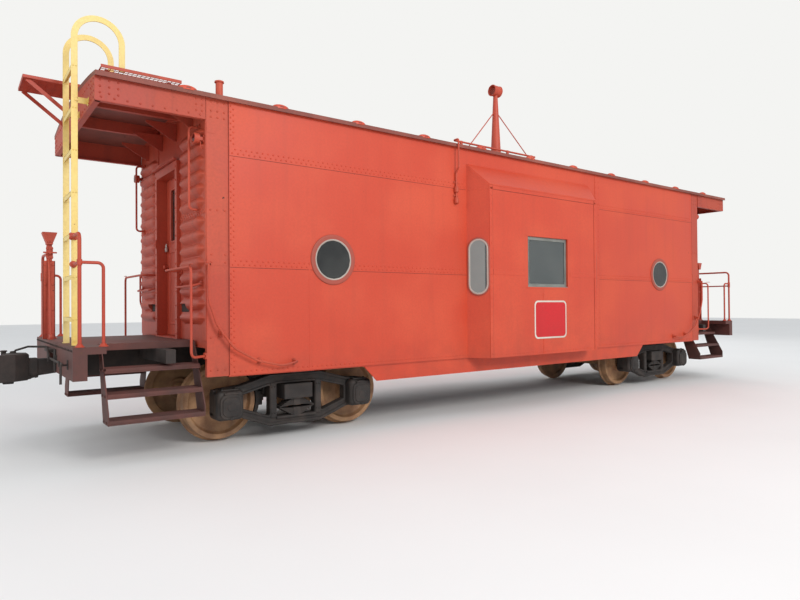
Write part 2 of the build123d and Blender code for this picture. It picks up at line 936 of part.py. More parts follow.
with BuildPart() as door_pane:
    with Locations((leaf_inner - door_leaf / 2, 0, door_window_middle)):
        Box(glass_thickness, door_window_width, door_window_height)
save_each_end(door_pane.part, "door_glass")

# Pressed end panels: horizontal ribs that taper to both ends
panel_low_y = door_outer_half
panel_high_y = corner_half - panel_gap
panel_middle = (panel_low_y + panel_high_y) / 2
panel_face = -half_body - panel_sheet
rib_half_length = (panel_high_y - panel_low_y) / 2 - panel_edge / 2
upper_ribs = [panel_seam + rib_pitch * (k + rib_upper_start) for k in range(upper_rib_count)]
lower_ribs = [panel_seam - rib_pitch * (k + rib_lower_start) for k in range(lower_rib_count)]
rib_levels = upper_ribs + lower_ribs
rib_back = panel_face + panel_sheet / 2
rib_front = panel_face - rib_height
shoulder = rib_half_length - rib_taper

# one rib about its own middle: pointed ends, sloping flanks and a flat crown, closed by a flat back
foot = [
    Vector(rib_back, -rib_half_length, 0),
    Vector(rib_back, -shoulder, -rib_half_width),
    Vector(rib_back, shoulder, -rib_half_width),
    Vector(rib_back, rib_half_length, 0),
    Vector(rib_back, shoulder, rib_half_width),
    Vector(rib_back, -shoulder, rib_half_width),
]
crown = [
    Vector(rib_front, -shoulder, -rib_crown),
    Vector(rib_front, shoulder, -rib_crown),
    Vector(rib_front, shoulder, rib_crown),
    Vector(rib_front, -shoulder, rib_crown),
]
rib_sides = (
    foot,
    crown,
    (foot[1], foot[2], crown[1], crown[0]),
    (foot[4], foot[5], crown[3], crown[2]),
    (foot[0], foot[1], crown[0]),
    (foot[0], crown[0], crown[3]),
    (foot[0], crown[3], foot[5]),
    (foot[3], foot[2], crown[1]),
    (foot[3], crown[1], crown[2]),
    (foot[3], crown[2], foot[4]),
)
rib = Solid(Shell([Face(Wire.make_polygon(corners)) for corners in rib_sides]))
with BuildPart() as end_panels:
    for side in (-1, 1):
        with BuildSketch(Plane.YZ.offset(panel_face)):
            with BuildLine():
                Polyline(
                    (side * panel_low_y, roof_under(panel_low_y)),
                    (side * panel_low_y, panel_bottom),
                    (side * panel_high_y, panel_bottom),
                    (side * panel_high_y, roof_under(panel_high_y)),
                )
                ThreePointArc(
                    (side * panel_high_y, roof_under(panel_high_y)),
                    (side * panel_middle, roof_under(panel_middle)),
                    (side * panel_low_y, roof_under(panel_low_y)),
                )
            make_face()
        extrude(amount=panel_sheet)
        with Locations(*[(0, side * panel_middle, rib_z) for rib_z in rib_levels]):
            add(rib)
    # the dark openings low down beside the door
    for side in (-1, 1):
        hole_y = side * (panel_low_y + step_hole_width / 2 + step_hole_inset)
        with Locations((panel_face, hole_y, step_hole_middle)):
            Box(4 * rib_height, step_hole_width, step_hole_height, mode=Mode.SUBTRACT)
save_both_ends(end_panels.part, "end_panels")

# Roof: one arched sheet from hood to hood
with BuildPart() as roof:
    with BuildSketch(Plane.YZ.offset(-roof_half_length)):
        with BuildLine():
            ThreePointArc(
                (-roof_half_width, roof_over(roof_half_width)),
                (0, roof_over(0)),
                (roof_half_width, roof_over(roof_half_width)),
            )
            Line(
                (roof_half_width, roof_over(roof_half_width)),
                (roof_half_width, roof_under(roof_half_width)),
            )
            ThreePointArc(
                (roof_half_width, roof_under(roof_half_width)),
                (0, roof_under(0)),
                (-roof_half_width, roof_under(roof_half_width)),
            )
            Line(
                (-roof_half_width, roof_under(roof_half_width)),
                (-roof_half_width, roof_over(roof_half_width)),
            )
        make_face()
    extrude(amount=2 * roof_half_length)
save(roof.part, "roof")

# Hood fascias: a deep valance round the overhang, with a lip along its bottom
with BuildPart() as fascia:
    hood_length = roof_half_length - half_body - panel_sheet
    with BuildSketch(Plane.YZ.offset(-roof_half_length)):
        with BuildLine():
            Polyline(
                (-half_width, roof_under(half_width)),
                (-half_width, fascia_bottom),
                (half_width, fascia_bottom),
                (half_width, roof_under(half_width)),
            )
            ThreePointArc(
                (half_width, roof_under(half_width)),
                (0, roof_under(0)),
                (-half_width, roof_under(half_width)),
            )
        make_face()
    extrude(amount=hood_length)
    with BuildSketch(Plane.YZ.offset(-roof_half_length + fascia_plate)):
        with Locations((0, eave)):
            Rectangle(2 * (half_width - fascia_plate), 2 * (eave - fascia_bottom - fascia_plate))
        with Locations((0, eave)):
            Rectangle(2 * (half_width - fascia_lip), 2 * (eave - fascia_bottom + fascia_plate))
    extrude(amount=hood_length, mode=Mode.SUBTRACT)
save_both_ends(fascia.part, "hood_fascias")

# Platforms: deck between the step wells and an end sill with the coupler's slot
with BuildPart() as platform:
    deck_length = platform_length - end_sill_depth
    with Locations((-half_body - deck_length / 2, 0, sill_top + floor_thickness / 2)):
        Box(deck_length, 2 * deck_half, floor_thickness)
    with BuildSketch(Plane.YZ.offset(-end_sill_face)):
        with Locations((0, (end_sill_bottom + deck_top) / 2)):
            Rectangle(2 * end_sill_half, deck_top - end_sill_bottom)
        with Locations((0, (end_sill_bottom + coupler_slot_top) / 2)):
            Rectangle(2 * coupler_slot, coupler_slot_top - end_sill_bottom, mode=Mode.SUBTRACT)
    extrude(amount=end_sill_depth)
    for side in (-1, 1):
        corner_width_y = end_sill_half - deck_half
        with Locations(
            (
                -end_sill_back + corner_deck / 2,
                side * (deck_half + corner_width_y / 2),
                deck_top - corner_plate / 2,
            )
        ):
            Box(corner_deck, corner_width_y, corner_plate)
save_both_ends(platform.part, "platforms")

# Steps: hanging stringers with three treads at each corner of the car
step_start = -end_sill_back + corner_deck + step_gap
step_end = -half_body - step_gap
step_length = step_end - step_start
with BuildPart() as steps:
    for side in (-1, 1):
        for place in (step_start, step_end - step_plate):
            with BuildSketch(Plane.YZ.offset(place)):
                Polygon(
                    (side * deck_half, deck_top),
                    (side * deck_half, sill_top - stringer_foot),
                    (side * (step_outer - tread_depth), step_levels[0] - tread_plate),
                    (side * step_outer, step_levels[0] - tread_plate),
                    (side * step_outer, step_levels[0] + stringer_nose),
                    (side * (deck_half + stringer_nose), deck_top),
                    align=None,
                )
            extrude(amount=step_plate)
        for k, level in enumerate(step_levels):
            outer = step_outer - k * step_shift
            with Locations(
                ((step_start + step_end) / 2, side * (outer - tread_depth / 2), level - tread_plate / 2)
            ):
                Box(step_length, tread_depth, tread_plate)
save_both_ends(steps.part, "steps")

# End railings: corner grab pipes, a rail to the brake column and short rails by the steps
corner_x = -end_sill_face + rail_inset
far_pipe_top = corner_pipe_top - far_pipe_drop
brake_side = brake_y + stand_depth / 2
with BuildPart() as end_railing:
    rod(
        (
            (corner_x, -corner_post_out, deck_top),
            (corner_x, -corner_post_out, corner_pipe_top),
            (corner_x, -ladder_near - stile_thickness / 2, corner_pipe_top),
        ),
        rail_pipe,
        rail_bend,
    )
    rod(
        (
            (corner_x, corner_post_out, deck_top),
            (corner_x, corner_post_out, far_pipe_top),
            (corner_x, brake_side, far_pipe_top),
        ),
        rail_pipe,
        rail_bend,
    )
    rod(((corner_x, corner_post_out, mid_rail), (corner_x, brake_side, mid_rail)), mid_rail_pipe, 0)
    for side in (-1, 1):
        rod(
            (
                (corner_x, side * corner_post_out, short_rail_height),
                (corner_x + short_rail, side * corner_post_out, short_rail_height),
                (corner_x + short_rail, side * corner_post_out, deck_top),
            ),
            short_rail_pipe,
            short_rail_bend,
        )
save_both_ends(end_railing.part, "end_railings")

# Ladders: flat stiles that loop over the hood's edge, with angle rungs and two stays
stile_half = stile_width / 2
with BuildPart() as ladder:
    for stile_y in (-ladder_near, -ladder_far):
        face = Plane(
            origin=(-ladder_plane, stile_y, 0), x_dir=(1, 0, 0), z_dir=(0, -1, 0)
        )
        with BuildSketch(face):
            loop_middle = (loop_reach / 2, loop_spring)
            Polygon(
                (-stile_half, deck_top),
                (stile_half, deck_top),
                *arc_points(loop_middle, loop_reach / 2 - stile_half, 180, 0, loop_steps),
                (loop_reach - stile_half, landing_top),
                (loop_reach + stile_half, landing_top),
                *arc_points(loop_middle, loop_reach / 2 + stile_half, 0, 180, loop_steps),
                align=None,
            )
        extrude(amount=stile_thickness / 2, both=True)
        stay_x = -(ladder_plane - stile_half + roof_half_length) / 2
        with Locations((stay_x, stile_y, fascia_bottom + ladder_stay_rise)):
            Box(ladder_plane - stile_half - roof_half_length, stile_thickness, stile_width)
    rung_middle = -(ladder_near + ladder_far) / 2
    for k in range(rung_count):
        rung_z = rung_first + k * rung_pitch
        with Locations((-ladder_plane, rung_middle, rung_z - rung_plate / 2)):
            Box(rung_leg, ladder_near - ladder_far, rung_plate)
        with Locations((-ladder_plane - rung_leg / 2 + rung_plate / 2, rung_middle, rung_z - rung_leg / 2)):
            Box(rung_plate, ladder_near - ladder_far, rung_leg)
save_both_ends(ladder.part, "ladders")

# Roof walk over the end, and the landing board at the ladder's head
board_middle = (ladder_near + board_far) / 2
saddle_half = walk_half - saddle_inset
saddle_places = (
    -roof_half_length + saddle_end,
    -roof_half_length + saddle_middle,
    -walk_tip + walk_length - saddle_end,
)
with BuildPart() as roof_walk:
    with Locations((-walk_tip + walk_length / 2, 0, walk_top - walk_plate / 2)):
        Box(walk_length, 2 * walk_half, walk_plate)
    landing_middle = landing_start + landing_length / 2
    landing_y = -(ladder_near + landing_edge) + landing_width / 2
    with Locations((landing_middle, landing_y, landing_top - landing_plate / 2)):
        Box(landing_length, landing_width, landing_plate)
    for board_x in (landing_start + board_start, landing_start + landing_length - board_finish):
        with BuildSketch(Plane.YZ.offset(board_x - board_width / 2)):
            with BuildLine():
                Polyline(
                    (-ladder_near, roof_over(ladder_near)),
                    (-ladder_near, landing_top - landing_plate),
                    (-board_far, landing_top - landing_plate),
                    (-board_far, roof_over(board_far)),
                )
                ThreePointArc(
                    (-board_far, roof_over(board_far)),
                    (-board_middle, roof_over(board_middle)),
                    (-ladder_near, roof_over(ladder_near)),
                )
            make_face()
        extrude(amount=board_width)
    for saddle_x in saddle_places:
        with BuildSketch(Plane.YZ.offset(saddle_x - saddle_width / 2)):
            with BuildLine():
                Polyline(
                    (-saddle_half, roof_over(saddle_half)),
                    (-saddle_half, walk_top - walk_plate),
                    (saddle_half, walk_top - walk_plate),
                    (saddle_half, roof_over(saddle_half)),
                )
                ThreePointArc(
                    (saddle_half, roof_over(saddle_half)),
                    (0, roof_over(0)),
                    (-saddle_half, roof_over(saddle_half)),
                )
            make_face()
        extrude(amount=saddle_width)
    for brace_y in (-walk_half + brace_inset, walk_half - brace_inset):
        with BuildSketch(Plane.XZ.offset(-brace_y)):
            Polygon(
                (-walk_tip + brace_inset, walk_top - walk_plate),
                (-walk_tip + brace_inset + brace_width, walk_top - walk_plate),
                (-roof_half_length, fascia_bottom + brace_rise + brace_foot),
                (-roof_half_length, fascia_bottom + brace_rise),
                align=None,
            )
        extrude(amount=brace_plate / 2, both=True)
save_both_ends(roof_walk.part, "roof_walks")

# Hand brake: a channel column with a ratchet case and the funnel-shaped housing over it
brake_x = corner_x - stand_shift
ratchet_x = brake_x + stand_shift
ratchet_top = deck_top + ratchet_middle + ratchet_height / 2
with BuildPart() as brake_stand:
    with BuildSketch(Plane.XY.offset(deck_top)):
        with Locations((brake_x, brake_y)):
            Rectangle(stand_width, stand_depth)
        with Locations((brake_x, brake_y + stand_web)):
            Rectangle(stand_width - 2 * stand_web, stand_depth, mode=Mode.SUBTRACT)
    extrude(amount=stand_height)
    with Locations((ratchet_x, brake_y - ratchet_offset, deck_top + ratchet_middle)):
        Box(ratchet_size, ratchet_size, ratchet_height)
    with BuildSketch(Plane.XZ.offset(ratchet_offset - brake_y)):
        Polygon(
            (ratchet_x - funnel_bottom, ratchet_top),
            (ratchet_x + funnel_bottom, ratchet_top),
            (ratchet_x + funnel_top, ratchet_top + funnel_height),
            (ratchet_x - funnel_top, ratchet_top + funnel_height),
            align=None,
        )
    extrude(amount=funnel_width / 2, both=True)
save_both_ends(brake_stand.part, "brake_stands")

# Grab irons: curved rods at the corners of the sides
side_rod_y = half_width + side_rod_stand
# columns: distance in from the end of the body, height above the floor plane
side_rod_route = (
    (-6, 1960),
    (-6, 1590),
    (82, 1330),
    (264, 1083),
    (520, 941),
    (814, 868),
    (986, 903),
)
side_foot_places = (side_rod_route[0], side_rod_route[-1])
with BuildPart() as side_handrails:
    rod([(-half_body + inward, -side_rod_y, height) for inward, height in side_rod_route], grab_rod, 0)
    for inward, foot_z in side_foot_places:
        foot_x = -half_body + inward + (side_foot_length - grab_rod) / 2
        with Locations((foot_x, -half_width - side_rod_stand / 2, foot_z)):
            Box(side_foot_length, side_rod_stand, side_foot_height)
near_rods = side_handrails.part
far_rods = near_rods.mirror(Plane.XZ)
save(
    near_rods + far_rods + near_rods.rotate(Axis.Z, 180) + far_rods.rotate(Axis.Z, 180),
    "side_handrails",
)

# Rods on the end walls: upright pairs, corner rods over the deck and drop grab irons
upright_top = upper_ribs[-1] + rib_pitch / 2
upright_bottom = (upper_ribs[0] - rib_half_width + panel_seam) / 2
drop_top = (lower_ribs[4] + lower_ribs[5]) / 2
drop_low = drop_top - drop_rod_drop
upright_x = panel_face - upright_stand
corner_rod_x = panel_face - corner_rod_stand
drop_x_out = panel_face - drop_rod_stand
foot_face = panel_face - foot_pad
with BuildPart() as end_rods:
    for side in (-1, 1):
        rod(
            (
                (panel_face, side * upright_y, upright_top),
                (upright_x, side * upright_y, upright_top),
                (upright_x, side * upright_y, upright_bottom),
                (panel_face, side * upright_y, upright_bottom),
            ),
            grab_rod,
            upright_bend,
        )
        rod(
            (
                (-half_body - foot_pad, side * corner_rod_start_y, corner_rod_foot),
                (corner_rod_x, side * corner_rod_y, corner_rod_foot),
                (corner_rod_x, side * corner_rod_y, corner_rod_top),
                (corner_rod_x, side * corner_rod_end_y, corner_rod_top),
                (panel_face, side * corner_rod_end_y, corner_rod_top),
            ),
            corner_rod,
            corner_rod_bend,
        )
        rod(
            (
                (foot_face, side * drop_rod_out, drop_top),
                (drop_x_out, side * (drop_rod_out - drop_rod_lean), drop_low),
                (drop_x_out, side * (drop_rod_in + drop_rod_lean), drop_low),
                (foot_face, side * drop_rod_in, drop_top),
            ),
            grab_rod,
            drop_rod_bend,
        )
        for foot_y in (drop_rod_in, drop_rod_out):
            with Locations((panel_face - foot_pad / 2, side * foot_y, drop_top)):
                Box(foot_pad, drop_foot_width, drop_foot_height)
        with Locations((-half_body - foot_pad / 2, side * corner_rod_start_y, corner_rod_foot)):
            Box(foot_pad, corner_foot_width, corner_foot_height)
save(end_rods.part + end_rods.part.rotate(Axis.Z, 180), "end_handrails")

# Marker lamps high on the end walls
lamp_height = (upper_ribs[4] + upper_ribs[5]) / 2
with BuildPart() as lamps:
    for side in (-1, 1):
        with Locations((panel_face - lamp_bracket / 2, side * lamp_y, lamp_height)):
            Box(lamp_bracket, lamp_bracket_width, lamp_bracket_width)
        with BuildSketch(Plane.YZ.offset(panel_face - lamp_stand)):
            with Locations((side * lamp_y, lamp_height)):
                RegularPolygon(lamp_radius, lamp_sides)
        extrude(amount=lamp_length)
save(lamps.part + lamps.part.rotate(Axis.Z, 180), "end_lamps")

# Smoke jack at the roof's edge: pipe, drum cap and two stays, cut off where they meet the roof
jack_top = roof_over(jack_y) + jack_rise
cap_middle = jack_top - cap_drop
stay_height = jack_top - stay_drop
with BuildPart() as smoke_jack:
    with BuildSketch(Plane.XY.offset(roof_over(jack_y) - root_depth)):
        with Locations((jack_x, jack_y)):
            RegularPolygon(jack_radius, jack_sides)
    extrude(amount=jack_rise)
    with BuildSketch(Plane.YZ.offset(jack_x - cap_length / 2)):
        with Locations((jack_y, cap_middle)):
            RegularPolygon(cap_radius, cap_sides)
    extrude(amount=cap_length)
    for reach in (-stay_reach, stay_reach):
        stay_foot = (jack_x + reach, jack_y - stay_shift, roof_over(jack_y - stay_shift) - root_depth)
        rod(((jack_x, jack_y, stay_height), stay_foot), stay_rod, 0)
    with BuildSketch(Plane.YZ.offset(-roof_half_length)):
        with BuildLine():
            ThreePointArc(
                (-roof_half_width, roof_over(roof_half_width)),
                (0, roof_over(0)),
                (roof_half_width, roof_over(roof_half_width)),
            )
            Polyline(
                (roof_half_width, roof_over(roof_half_width)),
                (roof_half_width, side_bottom),
                (-roof_half_width, side_bottom),
                (-roof_half_width, roof_over(roof_half_width)),
            )
        make_face()
    extrude(amount=2 * roof_half_length, mode=Mode.SUBTRACT)
save(smoke_jack.part, "smoke_jack")

# Pipe along the roof's edge, the conduit that drops down the near side, and a short vent
pipe_y = -roof_half_width + pipe_inset
pipe_z = roof_over(pipe_y) + pipe_lift
vent_x = -half_body + vent_inset
with BuildPart() as roof_pipes:
    rod(
        (
            (pipe_start, pipe_y, pipe_z),
            (drop_x, pipe_y, pipe_z),
            (drop_x, -roof_half_width - drop_stand, pipe_z),
            (drop_x, -roof_half_width - drop_stand, drop_bend_top),
            (drop_x, -half_width - drop_near, drop_bend_bottom),
            (drop_x, -half_width - drop_near, knob_heights[-1]),
        ),
        pipe_size,
        pipe_bend,
    )
    for foot_x in pipe_foot_places:
        with BuildSketch(Plane.XY.offset(roof_over(pipe_y) - root_depth)):
            with Locations((foot_x, pipe_y)):
                Rectangle(pipe_foot_length, pipe_foot_width)
        extrude(amount=pipe_lift + root_depth)
    for knob_z in knob_heights:
        with BuildSketch(Plane.XY.offset(knob_z - knob_length / 2)):
            with Locations((drop_x, -half_width - drop_near)):
                RegularPolygon(knob_radius, knob_sides)
        extrude(amount=knob_length)
    with BuildSketch(Plane.XY.offset(roof_over(vent_y) - root_depth)):
        with Locations((vent_x, vent_y)):
            RegularPolygon(vent_radius, knob_sides)
    extrude(amount=vent_height)
    with BuildSketch(Plane.YZ.offset(-roof_half_length)):
        with BuildLine():
            ThreePointArc(
                (-roof_half_width, roof_over(roof_half_width)),
                (0, roof_over(0)),
                (roof_half_width, roof_over(roof_half_width)),
            )
            Polyline(
                (roof_half_width, roof_over(roof_half_width)),
                (roof_half_width, roof_under(roof_half_width)),
                (half_width, roof_under(roof_half_width)),
                (half_width, side_bottom),
                (-half_width, side_bottom),
                (-half_width, roof_under(roof_half_width)),
                (-roof_half_width, roof_under(roof_half_width)),
                (-roof_half_width, roof_over(roof_half_width)),
            )
        make_face()
    extrude(amount=2 * roof_half_length, mode=Mode.SUBTRACT)
save(roof_pipes.part, "roof_pipework")

# Couplers: draft gear and shank in the centre sill, head and hooked knuckle past the end sill
face_x = -end_sill_face - coupler_reach
gear_x = -half_body - shank_run
shank_start = face_x + head_length
# columns: distance behind the coupling face, place across the car
head_outline = (
    (head_length, -95), (200, -190), (20, -225), (-10, -168), (78, -132), (122, -60), (128, 40), (96, 96),
    (150, 150), (172, 214), (214, 214), (head_length, 95),
)
knuckle_outline = (
    (128, 30), (58, 18), (6, 40), (0, 92), (30, 152), (74, 196), (150, 214), (206, 190), (168, 110),
)
pin_place = (120, 168)
with BuildPart() as coupler:
    with Locations(((shank_start + gear_x) / 2, 0, coupler_height)):
        Box(gear_x - shank_start, shank_width, shank_height)
    with Locations((gear_x, 0, coupler_height)):
        Box(gear_length, 2 * (sill_half - sill_plate), gear_height)
    with BuildSketch(Plane.XY.offset(coupler_height - head_height / 2)):
        Polygon(*[(face_x + back, across) for back, across in head_outline], align=None)
    extrude(amount=head_height)
    with BuildSketch(Plane.XY.offset(coupler_height - knuckle_height / 2)):
        Polygon(*[(face_x + back, across) for back, across in knuckle_outline], align=None)
    extrude(amount=knuckle_height)
    with BuildSketch(Plane.XY.offset(coupler_height - head_height / 2 - pin_rise)):
        with Locations((face_x + pin_place[0], pin_place[1])):
            RegularPolygon(pin_radius, rod_sides)
    extrude(amount=head_height + 2 * pin_rise)
save_both_ends(coupler.part, "couplers")

# Air brake: reservoir and brake cylinder, hung from the cross bearers
hang_z = sill_bottom + hang_rise
with BuildPart() as air_brake:
    # columns: middle along the car, place across it, drop, radius, length
    for drum_x, drum_y, drop, radius, length in (
        (tank_x, tank_y, tank_drop, tank_radius, tank_length),
        (cylinder_x, cylinder_y, cylinder_drop, cylinder_radius, cylinder_length),
        (cylinder_x, cylinder_y, cylinder_drop, cylinder_radius + rim_reach, rim_length),
    ):
        with BuildSketch(Plane.YZ.offset(drum_x - length / 2)):
            with Locations((drum_y, hang_z - drop)):
                RegularPolygon(radius, tank_sides)
        extrude(amount=length)
    # columns: middle along the car, place across it, distance of the straps from the middle
    for drum_x, drum_y, spread in ((tank_x, tank_y, strap_spread), (cylinder_x, cylinder_y, strap_narrow)):
        for strap_x in (drum_x - spread, drum_x + spread):
            with Locations((strap_x, drum_y, sill_top - strap_height / 2)):
                Box(strap_length, strap_width, strap_height)
save(air_brake.part, "air_brake_gear")

# Blank sign plates on the bays' fronts
with BuildPart() as sign:
    with BuildSketch(Plane.XZ.offset(bay_face)):
        with Locations((bay_centre + sign_shift, sign_middle)):
            Polygon(*plate_points(sign_width, sign_height, sign_round), align=None)
    extrude(amount=sign_plate)
save(sign.part + sign.part.rotate(Axis.Z, 180), "sign_plates")
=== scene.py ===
import bpy
import numpy as np
from math import cos, pi, radians, sin
from mathutils import Matrix


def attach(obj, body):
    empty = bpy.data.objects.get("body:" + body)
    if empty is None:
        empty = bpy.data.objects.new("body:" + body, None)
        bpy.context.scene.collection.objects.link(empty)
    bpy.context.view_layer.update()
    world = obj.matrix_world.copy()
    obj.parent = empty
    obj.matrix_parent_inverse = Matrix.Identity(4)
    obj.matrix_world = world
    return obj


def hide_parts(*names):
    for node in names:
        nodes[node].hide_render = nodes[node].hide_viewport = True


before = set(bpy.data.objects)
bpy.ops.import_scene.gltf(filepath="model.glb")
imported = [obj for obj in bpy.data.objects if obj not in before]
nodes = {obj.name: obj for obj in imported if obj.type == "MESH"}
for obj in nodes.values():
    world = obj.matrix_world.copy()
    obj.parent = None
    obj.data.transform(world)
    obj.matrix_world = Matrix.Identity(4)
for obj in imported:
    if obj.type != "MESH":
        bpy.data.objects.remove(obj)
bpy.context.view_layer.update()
print("frame loaded,", len(nodes), "nodes")

# metres: X along the car with the near end at -X, Y across it with the near side at -Y, Z up
endOut, sideOut, up = (-1, 0, 0), (0, -1, 0), (0, 0, 1)
alongX, alongY = (1, 0, 0), (0, 1, 0)


def unit(v):
    # a vector over its own length
    v = np.asarray(v, float)
    return v / np.linalg.norm(v, axis=-1, keepdims=True)


def squareTo(normal):
    # two unit vectors square to a normal and to each other
    first = unit(np.cross(np.where(np.abs(normal[..., 2:]) > 0.9, alongX, up), normal))
    return first, np.cross(normal, first)


def surface(points, wrapU=False):
    # rings of points (rings, points, 3): one quad between neighbours; the last ring joins the first one, or both
    # are closed by a flat cap
    points = np.asarray(points, float)
    rows, columns = points.shape[:2]
    a, b = np.meshgrid(np.arange(rows - (not wrapU)), np.arange(columns), indexing="ij")
    a2, b2 = (a + 1) % rows, (b + 1) % columns
    quads = np.stack([a * columns + b, a * columns + b2, a2 * columns + b2, a2 * columns + b], -1).reshape(-1, 4)
    faces = quads.tolist()
    if not wrapU:
        faces += [list(range(columns))[::-1], list(range((rows - 1) * columns, rows * columns))]
    verts = points.reshape(-1, 3)
    # signed volume of the quads seen from the middle tells which way the faces point
    c = verts[quads] - verts.mean(0)
    volume = np.einsum("ij,ij->", c[:, 0], np.cross(c[:, 1], c[:, 2]) + np.cross(c[:, 2], c[:, 3]))
    return welded(verts, faces if volume >= 0 else [f[::-1] for f in faces])


def welded(verts, faces):
    # equal points become one; quads that lose a corner become triangles and empty ones go
    first, number = np.unique(np.round(verts, 7), axis=0, return_index=True, return_inverse=True)[1:]
    if len(first) == len(verts):
        return verts, faces
    number = number.reshape(-1)
    quads = number[np.array([f for f in faces if len(f) == 4])]
    same = quads == np.roll(quads, -1, 1)
    out = quads[~same.any(1)].tolist()
    for k in range(4):
        out += quads[same[:, k] & (same.sum(1) == 1)][:, [k, (k + 2) % 4, (k + 3) % 4]].tolist()
    caps = [list(dict.fromkeys(number[f].tolist())) for f in faces if len(f) != 4]
    return verts[first], out + [f for f in caps if len(f) > 2]


def joined(parts):
    # many (points, faces) pairs as one, each one's face numbers moved past the points before it
    verts, faces, base = [], [], 0
    for v, f in parts:
        verts.append(v)
        faces += [[i + base for i in face] for face in f]
        base += len(v)
    return np.concatenate(verts), faces


def repeated(part, places, normals):
    # copies of one shape: its Z turned to each normal, then moved to each place, all as one array product
    verts, faces = part
    places = np.atleast_2d(places).astype(float)
    n = np.broadcast_to(unit(np.atleast_2d(normals)), places.shape)
    basis = np.stack([*squareTo(n), n], 1)
    out = (places[:, None] + np.einsum("vi,kij->kvj", verts, basis)).reshape(-1, 3)
    steps = (np.arange(len(places)) * len(verts))[:, None, None]
    copies = []
    for size in dict.fromkeys(len(f) for f in faces):
        group = np.array([f for f in faces if len(f) == size])
        copies += (group[None] + steps).reshape(-1, size).tolist()
    return out, copies


def moved(part, shift):
    # the same shape, the shift added to all its points
    return part[0] + shift, part[1]


def turned(part):
    # the same shape turned half round about the car's middle
    return part[0] * [-1, -1, 1], part[1]


def mirrored(part):
    # the same shape on the other side of the car, its faces turned to stay outwards
    return part[0] * [1, -1, 1], [f[::-1] for f in part[1]]


def bothEnds(part):
    # the shape and its half turn
    return joined([part, turned(part)])


def fourCorners(part):
    # the shape, its mirror image and the half turn of both
    return bothEnds(joined([part, mirrored(part)]))


def roundedRoute(route, bend, steps=6):
    # straight runs joined by circle arcs of the bend radius: each corner's arc spans the two tangent points
    route = np.asarray(route, float)
    line = [route[0]]
    for before, corner, after in zip(route, route[1:], route[2:]):
        a, b = unit(before - corner), unit(after - corner)
        half = np.arccos(np.clip(a @ b, -1, 1)) / 2
        if half > pi / 2 - 0.02:
            line.append(corner)
            continue
        longest = 0.48 * min(np.linalg.norm(before - corner), np.linalg.norm(after - corner))
        back = min(bend / np.tan(half), longest)
        radius = back * np.tan(half)
        middle = corner + unit(a + b) * (radius / np.sin(half))
        start, finish = unit(corner + a * back - middle), unit(corner + b * back - middle)
        sweep = np.arccos(np.clip(start @ finish, -1, 1))
        t = np.linspace(0, 1, steps + 1)[:, None]
        line += list(middle + radius * (np.sin((1 - t) * sweep) * start + np.sin(t * sweep) * finish) / np.sin(sweep))
    return np.array(line + [route[-1]])


def extruded(profile, line, side, lift, closedLine=False):
    # each point is the line's point plus profile x along the side and y along the lift
    profile = np.asarray(profile, float)
    return surface(line[:, None] + profile[:, :1] * side[:, None] + profile[:, 1:] * lift[:, None], wrapU=closedLine)


def alongLine(line):
    # direction of a closed line at each of its points, from the neighbours on both sides
    return unit(np.roll(line, -1, 0) - np.roll(line, 1, 0))


def carried(profile, line, rise, closedLine=False):
    # a flat profile carried along a line, its y axis kept as near the rise as the line allows
    line = np.asarray(line, float)
    tangent = alongLine(line) if closedLine else unit(np.gradient(line, axis=0))
    side = unit(np.cross(tangent, rise))
    return extruded(profile, line, side, np.cross(side, tangent), closedLine)


def circle(sides):
    # points of the unit circle
    a = np.arange(sides) * 2 * pi / sides
    return np.stack([np.cos(a), np.sin(a)], 1)


def chamfered(width, height, edge):
    # section of a flat bar of twice the width and height, its corners cut by the edge
    w, h, inW, inH = width, height, width - edge, height - edge
    return [(-inW, -h), (inW, -h), (w, -inH), (w, inH), (inW, h), (-inW, h), (-w, inH), (-w, -inH)]


def rod(route, diameter, bend=0, sides=14):
    # round bar: a circle carried along the rounded route
    return carried(circle(sides) * diameter / 2, roundedRoute(route, bend), (0.31, 0.22, 0.92))


def box(x0, y0, z0, x1, y1, z1, radius=0.003, steps=2):
    # box with rounded edges: the corner of a smaller box plus the radius along a direction that sweeps the sphere
    corners = np.array([(x0, y0, z0), (x1, y1, z1)], float)
    middle, half = corners.mean(0), np.ptp(corners, 0) / 2
    radius = min(radius, 0.49 * half.min())
    quarter = np.linspace(0, pi / 2, steps + 1)
    signX, signY, signZ = (np.repeat(s, steps + 1) for s in ([1, -1, -1, 1], [1, 1, -1, -1], [1, -1]))
    t, a = np.meshgrid(np.concatenate([quarter, quarter + pi / 2]),
                       np.concatenate([quarter + k * pi / 2 for k in range(4)]), indexing="ij")
    inner = half - radius
    x = signX * inner[0] + radius * np.sin(t) * np.cos(a)
    y = signY * inner[1] + radius * np.sin(t) * np.sin(a)
    z = signZ[:, None] * inner[2] + radius * np.cos(t)
    return surface(middle + np.stack([x, y, z], -1))


def boxes(*rows):
    # each row holds two opposite corners and the rounding
    return joined([box(*row) for row in rows])


def lathe(profile, middle, axis, sides=64, capped=False):
    # profile of (along, radius) pairs turned about an axis through the middle: a solid when it starts on the axis
    # or is capped with flat ends, and a ring otherwise
    profile, axis = np.asarray(profile, float), unit(axis)
    ring = circle(sides) @ np.array(squareTo(axis))
    points = np.asarray(middle) + profile[:, None, :1] * axis + profile[:, None, 1:] * ring
    return surface(points, wrapU=not (capped or profile[0, 1] < 1e-3))


def pin(middle, axis, half, radius, sides=12):
    # plain round pin, half its length to either side
    return lathe([(-half, radius), (half, radius)], middle, axis, sides, True)


